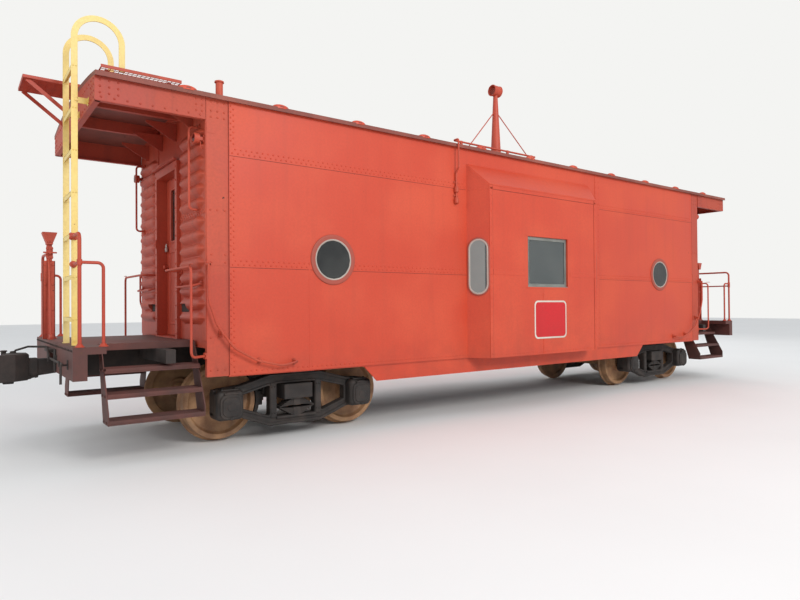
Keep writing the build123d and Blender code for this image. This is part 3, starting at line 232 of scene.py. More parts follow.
def dome(radius, height, sides=8, rows=3):
    # rivet head: rings of a flattened half ball, closed by a small flat top and a foot
    t = np.linspace(0, 0.92, rows + 1) * pi / 2
    wide, high = np.append(1, np.cos(t)), np.append(-0.3 * radius, height * np.sin(t))
    ring = circle(sides)
    flat = radius * wide[:, None, None] * ring
    return surface(np.dstack([flat, np.broadcast_to(high[:, None], flat.shape[:2])]))


def drawnIn(p, inset):
    # closed outline moved inwards along its corners' mitres
    d1, d2 = unit(p - np.roll(p, 1, 0)), unit(np.roll(p, -1, 0) - p)
    n1, n2 = (np.stack([d[:, 1], -d[:, 0]], 1) for d in (d1, d2))
    area = (p[:, 0] * np.roll(p[:, 1], -1) - np.roll(p[:, 0], -1) * p[:, 1]).sum()
    mitre = (n1 + n2) / (1 + (n1 * n2).sum(1, keepdims=True)).clip(0.3)
    return p - mitre * inset * np.sign(area)


def plate(outline, place, along, across, thickness, bevel=0.0015):
    # flat plate from an outline of (along, across) points: the outline drawn in by the bevel at both faces
    p = np.asarray(outline, float)
    out = np.cross(along, across)
    levels = [(bevel, 0), (0, bevel), (0, thickness - bevel), (bevel, thickness)]
    return surface([place + drawnIn(p, inset) @ np.array([along, across]) + out * h for inset, h in levels])


def rowOf(start, finish, pitch):
    # evenly spaced places from start to finish, as near the pitch as fits
    start, finish = np.asarray(start, float), np.asarray(finish, float)
    count = max(2, int(round(np.linalg.norm(finish - start) / pitch)) + 1)
    return start + np.linspace(0, 1, count)[:, None] * (finish - start)


def doubleRow(start, finish, pitch, shift):
    # two rows side by side, the second one half a pitch on
    first = rowOf(start, finish, pitch)
    return np.concatenate([first, (first[:-1] + first[1:]) / 2 + shift])


bolt = joined([lathe([(-0.004, 0.0125), (0.009, 0.0125), (0.0105, 0.0115), (0.0105, 0.001)], (0, 0, 0), up, 6),
               lathe([(-0.004, 0.0175), (0.0018, 0.0175), (0.0025, 0.0165), (0.0025, 0.006)], (0, 0, 0), up, 14)])
rivet = dome(0.0125, 0.0085, 8, 2)


def footPlate(place, normal, size=0.055, thick=0.009):
    # round-cornered plate with a bolt at each corner, lying on whatever the normal leaves
    n = unit(normal)
    corners = np.array([(i, j) for i in (-1, 1) for j in (-1, 1)]) * size * 0.62
    return joined([repeated(box(-size, -size, 0, size, size, thick, 0.004), [place], n),
                   repeated(bolt, place + n * thick + corners @ np.array(squareTo(n)), n)])


def makePiece(name, part, material, body="car", replaces=(), smooth=32):
    # mesh with its sharp edges marked past an angle in degrees, riding on its body
    verts, faces = part
    mesh = bpy.data.meshes.new(name)
    mesh.from_pydata(verts.tolist(), [], faces)
    mesh.materials.append(material)
    mesh.polygons.foreach_set("use_smooth", np.ones(len(mesh.polygons), bool))
    mesh.set_sharp_from_angle(angle=radians(smooth))
    mesh.update()
    piece = bpy.data.objects.new(name, mesh)
    bpy.context.scene.collection.objects.link(piece)
    weighted = piece.modifiers.new("flat_faces_stay_flat", "WEIGHTED_NORMAL")
    weighted.keep_sharp = True
    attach(piece, body)
    if replaces:
        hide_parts(*replaces)


# materials


def toLinear(code):
    # sRGB hex to the linear colour that shading works in
    c = np.array([int(code[i:i + 2], 16) for i in (1, 3, 5)]) / 255
    return (*np.where(c <= 0.04045, c / 12.92, ((c + 0.055) / 1.055) ** 2.4).tolist(), 1.0)


def addNode(tree, kind, inputs=None, **settings):
    # one node with its settings; each input takes a socket as a link, a hex code as a colour, or a number
    node = tree.nodes.new("ShaderNode" + kind)
    for key, value in settings.items():
        setattr(node, key, value)
    for key, value in (inputs or {}).items():
        if isinstance(value, bpy.types.NodeSocket):
            tree.links.new(value, node.inputs[key])
        else:
            node.inputs[key].default_value = toLinear(value) if isinstance(value, str) else value
    return node


def newMaterial(name):
    # an empty material and its coordinates in metres
    material = bpy.data.materials.new(name)
    material.use_nodes = True
    tree = material.node_tree
    tree.nodes.clear()
    return material, tree, addNode(tree, "TexCoord").outputs["Object"]


def shaded(tree, inputs):
    # the surface shader, joined to the material's output
    addNode(tree, "OutputMaterial", {0: addNode(tree, "BsdfPrincipled", inputs).outputs[0]})


def noiseAt(tree, coords, scale, detail=3.0, stretch=(1, 1, 1), rough=0.55):
    # noise over real metres: scale is blotches per metre, stretch slows it along an axis
    place = addNode(tree, "Mapping", {"Vector": coords, "Scale": stretch}).outputs[0]
    inputs = {"Vector": place, "Scale": scale, "Detail": detail, "Roughness": rough}
    return addNode(tree, "TexNoise", inputs).outputs["Fac"]


def ramp(tree, source, low, high, start=0.0, finish=1.0):
    # start below low, finish above high, a smooth step between
    inputs = {"Value": source, "From Min": low, "From Max": high, "To Min": start, "To Max": finish}
    return addNode(tree, "MapRange", inputs, interpolation_type="SMOOTHSTEP").outputs[0]


def patches(tree, coords, scale, low, high, most=1.0, detail=3.0, **noise):
    # noise made into soft-edged patches: 0 below low, most above high
    return ramp(tree, noiseAt(tree, coords, scale, detail, **noise), low, high, 0.0, most)


def mixed(tree, factor, first, second):
    # first and second are sockets or hex colours
    return addNode(tree, "Mix", {0: factor, 6: first, 7: second}, data_type="RGBA").outputs[2]


def calc(tree, kind, a, b=0.5):
    # one step of arithmetic on sockets or numbers
    return addNode(tree, "Math", {0: a, 1: b}, operation=kind).outputs[0]


def bumped(tree, height, strength, distance, over=None):
    # relief of a height in metres, laid over an earlier one
    inputs = {"Height": height, "Strength": strength, "Distance": distance}
    return addNode(tree, "Bump", inputs | ({"Normal": over} if over else {})).outputs[0]


def paintedSteel(name, paint, faded, dirt, chips, rough=0.5, wear=0.5, streaks=0.4, soot=0.0):
    # paint weathered by sun and rain: wide faded clouds, rain streaks down the plates, rust where it
    # has flaked, road dust low down; wavy plates and fine orange peel in the shine
    material, tree, coords = newMaterial(name)
    clouds = patches(tree, coords, 0.9, 0.38, 0.68, detail=4.0)
    grain = noiseAt(tree, coords, 38.0, 5.0)
    rain = patches(tree, coords, 9.0, 0.5, 0.74, streaks, 4.0, stretch=(1.0, 1.0, 0.06))
    colour = mixed(tree, clouds, paint, faded)
    colour = mixed(tree, rain, colour, dirt)
    runs = patches(tree, coords, 26.0, 0.52, 0.66, 0.5 * streaks, 2.0, stretch=(1.0, 1.0, 0.02))
    colour = mixed(tree, runs, colour, faded)
    colour = mixed(tree, ramp(tree, grain, 0.3, 0.75, 0.0, 0.22), colour, dirt)
    height = addNode(tree, "SeparateXYZ", {"Vector": coords}).outputs["Z"]
    low = calc(tree, "MULTIPLY", ramp(tree, height, 0.5, 1.5, 1.0, 0.0), patches(tree, coords, 3.0, 0.35, 0.7))
    colour = mixed(tree, calc(tree, "MULTIPLY", low, 0.45), colour, dirt)
    if soot:
        film = calc(tree, "MULTIPLY", patches(tree, coords, 1.6, 0.3, 0.7, detail=5.0), soot)
        colour = mixed(tree, film, colour, "#2a2624")
    flakes = patches(tree, coords, 14.0, 0.715 - 0.06 * wear, 0.73 - 0.06 * wear, detail=8.0, rough=0.68)
    colour = mixed(tree, flakes, colour, chips)
    dull = calc(tree, "ADD", calc(tree, "MULTIPLY", clouds, 0.12), rough)
    dull = calc(tree, "ADD", dull, calc(tree, "MULTIPLY", flakes, 0.25))
    bump = bumped(tree, noiseAt(tree, coords, 1.7, 1.0), 0.25, 0.01)
    bump = bumped(tree, flakes, 0.3, -0.0006, bumped(tree, grain, 0.12, 0.002, bump))
    shaded(tree, {"Base Color": colour, "Roughness": dull, "Normal": bump})
    return material


def castSteel(name, base, dust, rough=0.72, dusty=0.5, metal=0.0, oily=0.0):
    # rough cast or forged steel under old brake dust: mottled, gritty, with browner patches and oil
    material, tree, coords = newMaterial(name)
    mottle = patches(tree, coords, 6.0, 0.35, 0.7, dusty, 6.0)
    grit = noiseAt(tree, coords, 120.0, 4.0)
    colour = mixed(tree, mottle, base, dust)
    colour = mixed(tree, ramp(tree, grit, 0.35, 0.8, 0.0, 0.3), colour, dust)
    wet = patches(tree, coords, 2.6, 0.5, 0.64, oily)
    colour = mixed(tree, wet, colour, "#14110f")
    dull = calc(tree, "SUBTRACT", rough, calc(tree, "MULTIPLY", wet, 0.4))
    bump = bumped(tree, grit, 0.35, 0.0015)
    bump = bumped(tree, noiseAt(tree, coords, 22.0), 0.25, 0.003, bump)
    shaded(tree, {"Base Color": colour, "Roughness": dull, "Normal": bump, "Metallic": metal})
    return material


def dustyGlass(name, frontPane, porthole, slotPane):
    # old safety glass under a thin even film of dust: dark in the portholes, paler in the round-ended
    # side panes, which are told apart by how far out from the car's middle they lie
    material, tree, coords = newMaterial(name)
    away = calc(tree, "ABSOLUTE", addNode(tree, "SeparateXYZ", {"Vector": coords}).outputs["Y"], 0.0)
    inBay = ramp(tree, away, 1.33, 1.335)
    inSlot = calc(tree, "MULTIPLY", inBay, ramp(tree, away, 1.538, 1.54, 1.0, 0.0))
    tint = mixed(tree, inSlot, mixed(tree, inBay, porthole, frontPane), slotPane)
    film = patches(tree, coords, 2.4, 0.25, 0.8, 0.16)
    shaded(tree, {
        "Base Color": mixed(tree, film, tint, "#a7aaa2"),
        "Roughness": calc(tree, "ADD", calc(tree, "MULTIPLY", film, 0.8), 0.07),
        "Transmission Weight": calc(tree, "SUBTRACT", 0.6, calc(tree, "MULTIPLY", inSlot, 0.5)),
        "IOR": 1.5,
    })
    return material


# chalky orange red of the sides, a duller one on the ends, sooty brown red overhead and scuffed brown underfoot
bodyPaint = paintedSteel("weathered_red_enamel", "#c53f22", "#cd4c2d", "#a03a24", "#5b2f26", 0.44, 0.1, 0.14)
endPaint = paintedSteel("weathered_red_enamel_end", "#b53e26", "#bf4d33", "#7c3424", "#4a2a24", 0.5, 0.4, 0.3)
roofPaint = paintedSteel("sooty_roof_paint", "#8a4134", "#9a5647", "#4b3833", "#4a3029", 0.6, 0.7, 0.2, 0.35)
deckPaint = paintedSteel("scuffed_deck_paint", "#5f2f28", "#744037", "#3c2d29", "#5a3d31", 0.62, 1.2, 0.1, 0.4)
# pale sun-bleached yellow with rust at the chips
yellowPaint = paintedSteel("weathered_yellow_enamel", "#e8c86c", "#eed68a", "#b9985c", "#7d4a33", 0.45, 0.3, 0.25)
# near black castings with oily patches, sooty flat frame steel, and rust brown wheels
truckSteel = castSteel("dusty_cast_steel", "#1f1c1b", "#4a3f38", 0.74, 0.55, 0.0, 0.5)
underSteel = castSteel("sooty_frame_steel", "#26211f", "#463833", 0.78, 0.5)
wheelSteel = castSteel("rusty_wheel_steel", "#8a6346", "#b98f66", 0.66, 0.75, 0.0, 0.3)
# grey metal without shine on the sashes, bright on the padlocks
sashMetal = castSteel("dull_aluminium", "#999b96", "#777770", 0.5, 0.5, 0.7)
steelBright = castSteel("plated_padlock_steel", "#c9cbc8", "#9a9a95", 0.35, 0.3, 0.9)
# window rings painted over in dull red, with a bare grey lip
rubber = castSteel("painted_gasket_rubber", "#a54534", "#8d5144", 0.62, 0.4)
paleRubber = castSteel("perished_gasket_lip", "#b5aaa0", "#95867c", 0.75, 0.4)
# clear signal red inside an off-white edge
signPaint = paintedSteel("sign_enamel", "#c40c16", "#c8161e", "#96241f", "#8d8a84", 0.5, 0.15, 0.15)
paleEnamel = paintedSteel("pale_sign_edge_enamel", "#d9d4c9", "#c9c2b4", "#a89a88", "#8a6a55", 0.4, 0.2, 0.2)
# dark lines in the laps: dirt in the joints and painted shade under the lap edges; on the hoods a darker red that is
# partly painted shade
seamDirtAndShadePaint = paintedSteel("seam_dirt_and_painted_shade_enamel", "#74261a", "#8a3222", "#5a2318", "#3f2019", 0.7, 0.3, 0.3)
# darker than the sides: painted shade on the hood's face under the roof's edge, with some dust
hoodPaintWithShade = paintedSteel("hood_enamel_with_painted_shade", "#ab3c28", "#b64a33", "#7c3629", "#4a2a24", 0.55, 0.35, 0.3)
# grey-green panes and dark red lenses
glass = dustyGlass("dusty_safety_glass", "#687070", "#1f2327", "#838784")
lensGlass = dustyGlass("red_lamp_lens", "#7c1c18", "#7c1c18", "#7c1c18")

finishes = {
    bodyPaint: "side_wall_left side_wall_right bay_left bay_right side_sills",
    hoodPaintWithShade: "hood_fascias",
    endPaint: "end_walls end_panels door_frames door_a door_b end_handrails side_handrails roof_pipework "
              "end_lamps end_railings brake_stands smoke_jack roof_walks",
    roofPaint: "roof",
    deckPaint: "platforms steps floor",
    yellowPaint: "ladders",
    truckSteel: " ".join(f"truck_{end}_side_frames truck_{end}_bolster truck_{end}_springs" for end in "ab"),
    underSteel: "center_sill body_bolsters cross_bearers couplers air_brake_gear",
    wheelSteel: "wheelset_1 wheelset_2 wheelset_3 wheelset_4",
    glass: "window_glass door_glass_a door_glass_b",
    sashMetal: "bay_window_sashes",
    rubber: "window_gaskets",
    signPaint: "sign_plates",
}
for material, names in finishes.items():
    for name in names.split():
        mesh = nodes[name].data
        for k in range(len(mesh.materials)):
            mesh.materials[k] = material
        if not mesh.materials:
            mesh.materials.append(material)
print("materials on", sum(len(names.split()) for names in finishes.values()), "nodes")

# wheelsets: one turned profile from journal end to journal end, mirrored about the middle

wheel = {"places": (-4.638, -2.962, 2.962, 4.638), "height": 0.447, "sides": 80, "profile": (
    (0.0, 0.0825), (0.598, 0.0825), (0.612, 0.0905), (0.652, 0.0905), (0.652, 0.128), (0.658, 0.135),
    (0.684, 0.137), (0.7, 0.152), (0.7085, 0.185), (0.7105, 0.26), (0.7045, 0.322), (0.692, 0.345),
    (0.6775, 0.352), (0.6765, 0.362), (0.6765, 0.428), (0.6805, 0.4405), (0.6895, 0.4468), (0.6985, 0.4445),
    (0.705, 0.4345), (0.709, 0.4255), (0.716, 0.4205), (0.728, 0.4188), (0.809, 0.4145), (0.8165, 0.4085),
    (0.8165, 0.364), (0.8105, 0.357), (0.785, 0.352), (0.765, 0.336), (0.7555, 0.305), (0.7545, 0.235),
    (0.7585, 0.185), (0.77, 0.158), (0.79, 0.144), (0.828, 0.137), (0.8345, 0.13), (0.8345, 0.094),
    (0.8345, 0.088), (0.848, 0.076), (0.862, 0.0698), (1.096, 0.0698), (1.1045, 0.064), (1.105, 0.058),
)}
halfProfile = np.array(wheel["profile"])
fullProfile = np.concatenate([halfProfile[:0:-1] * [-1, 1], halfProfile])
for number, x in enumerate(wheel["places"], 1):
    axle = lathe(fullProfile, (x, 0, wheel["height"]), alongY, wheel["sides"], True)
    makePiece(f"turned_wheelset_{number}", axle, wheelSteel, f"wheelset_{number}", (f"wheelset_{number}",), 28)
print("wheelsets turned")

# pressed end panels: one sheet each side of the door, ribs with pointed ends, an opening low down

panel = {
    "face": -4.963, "back": -4.956, "inner": 0.45, "outer": 1.3, "bottom": 1.166, "ribHeight": 0.048,
    "ribHalf": 0.069, "start": 0.468, "finish": 1.282, "taper": 0.2, "hole": (0.474, 0.774, 1.464, 1.56),
    "ribs": (*2.6199 + 0.145 * np.arange(6), *2.42125 - 0.145 * np.arange(8)),
    "flat": 3.55, "top": 3.62, "grid": (44, 236),
}
roof = {"top": 3.841, "outer": 8.4626, "inner": 8.4176}


def smooth(t):
    # 0 to 1 with level ends: 3t^2 - 2t^3
    t = np.clip(t, 0, 1)
    return t * t * (3 - 2 * t)


def roofOver(y, side="outer"):
    # height of the roof's surface: a circle arc about a centre one outer radius under the top
    return roof["top"] - roof["outer"] + np.sqrt(roof[side]**2 - y**2)


def ribbedDepth(y, z):
    # highest rib of height * fade(y) * cos^0.85(pi/2 * |z - middle| / spread(y)), nothing between ribs
    t = np.minimum(y - panel["start"], panel["finish"] - y) / panel["taper"]
    spread = panel["ribHalf"] * (0.2 + 0.8 * smooth(1.25 * t))
    fade = panel["ribHeight"] * np.sin(pi / 2 * np.clip(t * 1.3, 0, 1)) ** 0.7
    u = [np.clip(np.abs(z - middle) / spread, 0, 1) for middle in panel["ribs"]]
    return np.maximum(fade * np.cos(pi / 2 * np.array(u)) ** 0.85, 0).max(0)


def solidSheet(front, back, keep):
    # closed sheet from two grids of the same size: kept cells on both, walls along every open edge
    rows, columns = front.shape[:2]
    a, b = np.nonzero(keep)
    base = a * columns + b
    quads = np.stack([base, base + 1, base + columns + 1, base + columns], 1)
    edges = np.concatenate([quads[:, [k, (k + 1) % 4]] for k in range(4)])
    shift = rows * columns
    place, count = np.unique(np.sort(edges, 1) @ [shift, 1], return_index=True, return_counts=True)[1:]
    rim = edges[place[count == 1]]
    walls = np.stack([rim[:, 1], rim[:, 0], rim[:, 0] + shift, rim[:, 1] + shift], 1)
    used, faces = np.unique(np.concatenate([quads, quads[:, ::-1] + shift, walls]), return_inverse=True)
    return np.concatenate([front.reshape(-1, 3), back.reshape(-1, 3)])[used], faces.reshape(-1, 4)


def panelSheet():
    # the sheet on a grid that has a line on each side of its opening, its top cut along the roof's underside
    y0, y1, z0, z1 = panel["hole"]
    flat, reach = panel["flat"], panel["top"] - panel["flat"]
    ys = np.unique(np.append(np.linspace(panel["inner"], panel["outer"], panel["grid"][0]), (y0, y1)))
    zs = np.unique(np.append(np.linspace(panel["bottom"], panel["top"], panel["grid"][1]), (z0, z1)))
    y, z = np.meshgrid(ys, zs, indexing="ij")
    front = panel["face"] - ribbedDepth(y, z)
    z = np.where(z > flat, flat + (z - flat) / reach * (roofOver(y, "inner") - flat - 0.002), z)
    my, mz = (ys[:-1] + ys[1:]) / 2, (zs[:-1] + zs[1:]) / 2
    keep = ~(((my > y0) & (my < y1))[:, None] & ((mz > z0) & (mz < z1)))
    points, faces = solidSheet(np.dstack([front, -y, z]), np.dstack([0 * y + panel["back"], -y, z]), keep)
    return points, faces[:, ::-1].tolist()


makePiece("pressed_end_sheets", fourCorners(panelSheet()), endPaint, "car", ("end_panels",), 40)
print("end sheets pressed")

# railings, grab irons and pipes: round bars in place of the plain ones, with feet and bolts

deck = 1.158
railing = {"x": -6.14, "back": -5.94, "y": 1.352, "top": 2.205, "farTop": 2.175, "middle": 1.936, "farMiddle": 1.888,
           "gate": -1.006, "farGate": 0.73}
railX, backX, railY, top, farTop, middle, farMiddle, gate, farGate = railing.values()
postFoot = [(0, 0.042), (0.006, 0.042), (0.009, 0.039), (0.01, 0.024), (0.03, 0.023), (0.032, 0.019)]
railSleeve = [(-0.028, 0.02), (-0.026, 0.0235), (0.026, 0.0235), (0.028, 0.02)]
railSocket = [(0, 0.033), (0.008, 0.033), (0.011, 0.029), (0.03, 0.027), (0.036, 0.02)]
makePiece("round_end_railings", bothEnds(joined([
    rod([(railX, -railY, deck), (railX, -railY, top), (railX, gate, top)], 0.034, 0.07),
    rod([(railX, railY, deck), (railX, railY, farTop), (railX, farGate, farTop)], 0.034, 0.07),
    rod([(railX, railY, farMiddle), (railX, farGate, farMiddle)], 0.026),
    *[rod([(railX, y, middle), (backX, y, middle), (backX, y, deck)], 0.03, 0.05) for y in (-railY, railY)],
    *[lathe(postFoot, (x, y, deck), up, 20) for x in (railX, backX) for y in (-railY, railY)],
    *[lathe(railSleeve, (railX, y, z), up, 16)
      for y, z in ((-railY, middle), (railY, middle), (railY, farMiddle))],
    footPlate((railX, gate + 0.003, top), sideOut, 0.03, 0.005),
    rod([(railX, -railY, middle), (railX, gate, middle)], 0.03),
    *[lathe(railSocket, (railX, gate, z), sideOut, 18, True) for z in (middle, top)],
])), endPaint, "car", ("end_railings",))

sideIron = {"y": -1.386, "wall": -1.314, "thick": 0.025, "bend": 0.26, "route": (
    (-4.961, 1.96), (-4.961, 1.59), (-4.873, 1.33), (-4.691, 1.083), (-4.435, 0.941), (-4.141, 0.868), (-3.969, 0.903),
), "feet": ((-4.95, 1.957), (-3.974, 0.902), (-4.81, 1.244), (-4.39, 0.929))}
ironStud = [(0, 0.019), (0.062, 0.017), (0.07, 0.02), (0.083, 0.016), (0.085, 0.009)]
wall = sideIron["wall"]
sideRoute = [(x, sideIron["y"], z) for x, z in sideIron["route"]]
makePiece("round_side_irons", fourCorners(joined([
    rod(sideRoute, sideIron["thick"], sideIron["bend"]),
    *[joined([lathe(ironStud, (x, wall, z), sideOut, 14),
              box(x - 0.022, wall - 0.008, z - 0.034, x + 0.022, wall, z + 0.034, 0.004),
              repeated(bolt, [(x, wall - 0.008, z + 0.023), (x, wall - 0.008, z - 0.023)], sideOut)])
      for x, z in sideIron["feet"]],
])), endPaint, "car", ("side_handrails",))

endIron = {
    "tall": ((-4.96, 1.113, 3.4174), (-5.072, 1.113, 3.4174), (-5.072, 1.113, 2.547), (-4.96, 1.113, 2.547)),
    "wide": ((-4.965, 1.28, 1.01), (-5.148, 1.41, 1.01), (-5.148, 1.41, 1.928), (-5.148, 0.496, 1.928),
             (-4.96, 0.496, 1.928)),
    "low": ((-4.972, 1.19, 1.769), (-5.05, 1.15, 1.741), (-5.05, 0.56, 1.741), (-4.972, 0.52, 1.769)),
    "feet": ((1.113, 3.4174, 0.03), (1.113, 2.547, 0.03), (0.496, 1.928, 0.034), (1.19, 1.769, 0.024),
             (0.52, 1.769, 0.024)),
}
endIrons = []
for s in (-1, 1):
    endIrons += [
        *[rod(np.array(endIron[name]) * (1, s, 1), thick, bend)
          for name, thick, bend in (("tall", 0.025, 0.04), ("wide", 0.027, 0.06), ("low", 0.025, 0.03))],
        *[footPlate((-4.963, s * y, z), endOut, size, 0.008) for y, z, size in endIron["feet"]],
        footPlate((-4.955, s * 1.28, 1.01), endOut, 0.03, 0.01),
        box(-5.156, s * 1.41 - 0.042, 1.945, -5.14, s * 1.41 + 0.042, 1.953),
    ]
makePiece("round_end_irons", bothEnds(joined(endIrons)), endPaint, "car", ("end_handrails",))

pipe = {"y": -1.29, "drop": (-1.52, -1.39), "wall": -1.336, "z": roofOver(1.29) + 0.045, "clips": (-1.38, -0.46, 0.06)}
roofZ, pipeZ, (dropX, dropY) = roofOver(1.29), pipe["z"], pipe["drop"]
pipeUnion = [(-0.04, 0.015), (-0.036, 0.024), (-0.028, 0.034), (0.026, 0.034), (0.03, 0.026), (0.043, 0.024),
             (0.046, 0.016)]
ventCap = [(-0.01, 0.038), (0.14, 0.038), (0.142, 0.05), (0.156, 0.048), (0.164, 0.03)]
makePiece("round_roof_pipes", joined([
    rod([(0.14, pipe["y"], pipeZ), (dropX, pipe["y"], pipeZ), (dropX, dropY, pipeZ), (dropX, dropY, 3.4),
         (dropX, pipe["wall"], 3.33), (dropX, pipe["wall"], 2.948)], 0.026, 0.028),
    *[box(x - 0.02, -1.302, roofZ - 0.004, x + 0.02, -1.278, pipeZ + 0.016, 0.005) for x in pipe["clips"]],
    *[lathe(pipeUnion, (dropX, -1.34, z), up, 12) for z in (3.098, 2.948)],
    *[joined([box(dropX - 0.035, -1.322, z - 0.012, dropX + 0.035, -1.315, z + 0.012, 0.002),
              repeated(bolt, [(dropX - 0.027, -1.322, z), (dropX + 0.027, -1.322, z)], sideOut)])
      for z in (3.2, 3.02)],
    lathe(ventCap, (-4.8, -1.27, roofOver(1.27)), up, 20),
]), endPaint, "car", ("roof_pipework",))

jack = {"x": -0.56, "y": -1.15, "foot": roofOver(1.15), "tall": 0.998, "stay": 0.64, "stayY": -1.24}
jackPlace, jackTop, stay = (jack["x"], jack["y"], jack["foot"]), jack["tall"], jack["stay"]
stayY, stayZ = jack["stayY"] - jack["y"], roofOver(jack["stayY"]) - jack["foot"]
jackTube = [(-0.008, 0.075), (0.006, 0.075), (0.012, 0.046), (0.035, 0.034), (0.9, 0.031)]
jackHead = [(0.058, 0.079), (0.062, 0.084), (0.07, 0.084), (0.075, 0.08), (0.075, 0.07)]
makePiece("turned_smoke_jack", moved(joined([
    lathe(jackTube, (0, 0, 0), up, 28),
    lathe([(-a, r) for a, r in jackHead[::-1]] + jackHead, (0, 0, jackTop - 0.06), alongX, 32),
    lathe([(-0.02, 0.04), (0.012, 0.04), (0.016, 0.034)], (0, 0, jackTop - 0.38), up, 24),
    *[rod([(0.03 * s, 0, jackTop - 0.38), (stay * s, stayY, stayZ + 0.004)], 0.015) for s in (-1, 1)],
    *[box(x - 0.04, stayY - 0.015, stayZ - 0.006, x + 0.04, stayY + 0.015, stayZ + 0.012) for x in (-stay, stay)],
]), jackPlace), endPaint, "car", ("smoke_jack",))
print("rods and pipes bent")

# ladders: flat bars that loop over the hood's edge, angle rungs riveted between them

ladder = {"x": -6.127, "near": -1.0, "far": -0.48, "width": 0.058, "thick": 0.012, "spring": 4.146, "radius": 0.2135,
          "rungs": 1.428 + 0.408 * np.arange(7)}
near, far, radius = ladder["near"], ladder["far"], ladder["radius"]
angles = np.linspace(pi, 0, 40)
loop = np.stack([radius * (1 + np.cos(angles)), 0 * angles, ladder["spring"] + radius * np.sin(angles)], 1)
barSection = chamfered(ladder["width"] / 2, ladder["thick"] / 2, 0.0022)
ladders = []
for y, out in ((near, -1), (far, 1)):
    outer = y + out * 0.006
    line = np.concatenate([[(0, y, z) for z in np.linspace(deck, 4.13, 12)], loop + (0, y, 0),
                           [(2 * radius, y, z) for z in (4.08, 3.98, 3.885)]])
    ladders += [
        carried(barSection, line, alongY),
        boxes((-0.03, y, deck, 0.03, y + out * 0.07, deck + 0.008),
              (-0.028, outer, deck, 0.028, y + out * 0.013, deck + 0.07),
              (0.02, y - 0.006, 3.498, 0.123, y + 0.006, 3.556),
              (0.115, y - 0.04, 3.492, 0.121, y + 0.04, 3.562, 0.002)),
        repeated(bolt, [(0, y + out * 0.045, deck + 0.008)], up),
        repeated(bolt, [(0.115, y - 0.026, 3.527), (0.115, y + 0.026, 3.527)], endOut),
        repeated(bolt, [(0.015, outer, 3.527), (0, y + out * 0.013, deck + 0.045)], (0, out, 0)),
        repeated(dome(0.009, 0.007), [(x, outer, z - 0.02) for z in ladder["rungs"] for x in (-0.012, 0.014)],
                 (0, out, 0)),
    ]
left, right = near + 0.006, far - 0.006
for z in ladder["rungs"]:
    ladders.append(boxes(
        (-0.022, left, z - 0.006, 0.022, right, z, 0.002), (-0.022, left, z - 0.044, -0.016, right, z - 0.001, 0.002),
        *[(-0.02, y, z - 0.046, 0.024, y + inwards, z - 0.004, 0.002)
          for y, inwards in ((left, 0.006), (right, -0.006))],
    ))
makePiece("looped_ladders", bothEnds(moved(joined(ladders), (ladder["x"], 0, 0))), yellowPaint, "car", ("ladders",))
print("ladders bent")

# rubber rings round the portholes and the round-ended panes

porthole = {"x": (-3.454, 3.546), "y": -1.316, "z": 2.066, "sections": (
    [(-0.002, 0.297), (0.008, 0.297), (0.0145, 0.2905), (0.016, 0.272), (0.0125, 0.264), (0.0125, 0.238),
     (-0.002, 0.238)],
    [(-0.002, 0.2415), (0.0145, 0.2415), (0.0165, 0.238), (0.0165, 0.233), (0.0135, 0.2285), (0.009, 0.2225),
     (-0.002, 0.2225)],
)}
slotPane = {"x": (-1.2265, 1.3185), "y": -1.455, "z": 2.05, "half": 0.37, "radius": 0.125, "sections": (
    [(-0.036, -0.002), (-0.036, 0.007), (-0.030, 0.0125), (-0.018, 0.0135), (-0.0145, 0.010), (-0.0145, -0.002)],
    [(-0.016, -0.002), (-0.016, 0.010), (-0.012, 0.0145), (0.001, 0.0145), (0.008, 0.0105), (0.0115, 0.006),
     (0.0115, -0.002)],
)}
rings = []
for section in porthole["sections"]:
    rings.append([lathe(section, (x, porthole["y"], porthole["z"]), sideOut, 72) for x in porthole["x"]])


def slotLine(halfHeight, radius):
    # outline of a round-ended slot, height up the second axis
    a = np.linspace(0, pi, 14)
    half = np.stack([radius * np.cos(a), halfHeight - radius + radius * np.sin(a)], 1)
    return np.concatenate([half, -half])


flat = slotLine(slotPane["half"], slotPane["radius"])
for x, hand in zip(slotPane["x"], (-1, 1)):
    centre = np.array([x, slotPane["y"], slotPane["z"]])
    normal = unit([hand * 0.278, -0.175, 0])
    line = centre + flat @ np.array([np.cross(up, normal), up])
    inward = np.cross(alongLine(line), normal)
    inward *= np.sign(((centre - line) * inward).sum(1).mean())
    for group, section in zip(rings, slotPane["sections"]):
        group.append(extruded(section, line, inward, normal[None], True))
makePiece("moulded_window_rings", bothEnds(joined(rings[0])), rubber, "car", ("window_gaskets",), 50)
makePiece("window_beads", bothEnds(joined(rings[1])), paleRubber, "car", (), 50)

# aluminium sashes in the bays' front windows, with a glazing bead and a sill

sash = {"x": (-0.3775, 0.5175), "z": (1.7785, 2.5135), "frame": 0.038, "bead": 0.01}


def frameBars(x0, x1, z0, z1, width, y0, y1, radius):
    # four bars of one width inside a rectangle: bottom, top, left and right
    return boxes(*[(a, y0, b, c, y1, d, radius) for a, b, c, d in (
        (x0, z0, x1, z0 + width), (x0, z1 - width, x1, z1),
        (x0, z0 + width, x0 + width, z1 - width), (x1 - width, z0 + width, x1, z1 - width))])


(x0, x1), (z0, z1), wide = sash["x"], sash["z"], sash["frame"]
makePiece("window_sash_frames", bothEnds(joined([
    frameBars(x0, x1, z0, z1, wide, -1.566, -1.544, 0.003),
    frameBars(x0 + wide, x1 - wide, z0 + wide, z1 - wide, sash["bead"], -1.571, -1.56, 0.002),
    box(x0, -1.596, z0, x1, -1.566, z0 + 0.008, 0.002),
])), sashMetal, "car", ("bay_window_sashes",))
print("windows framed")

# side sheets: lap strips, belt battens, rivet rows and the bolts on the corner posts

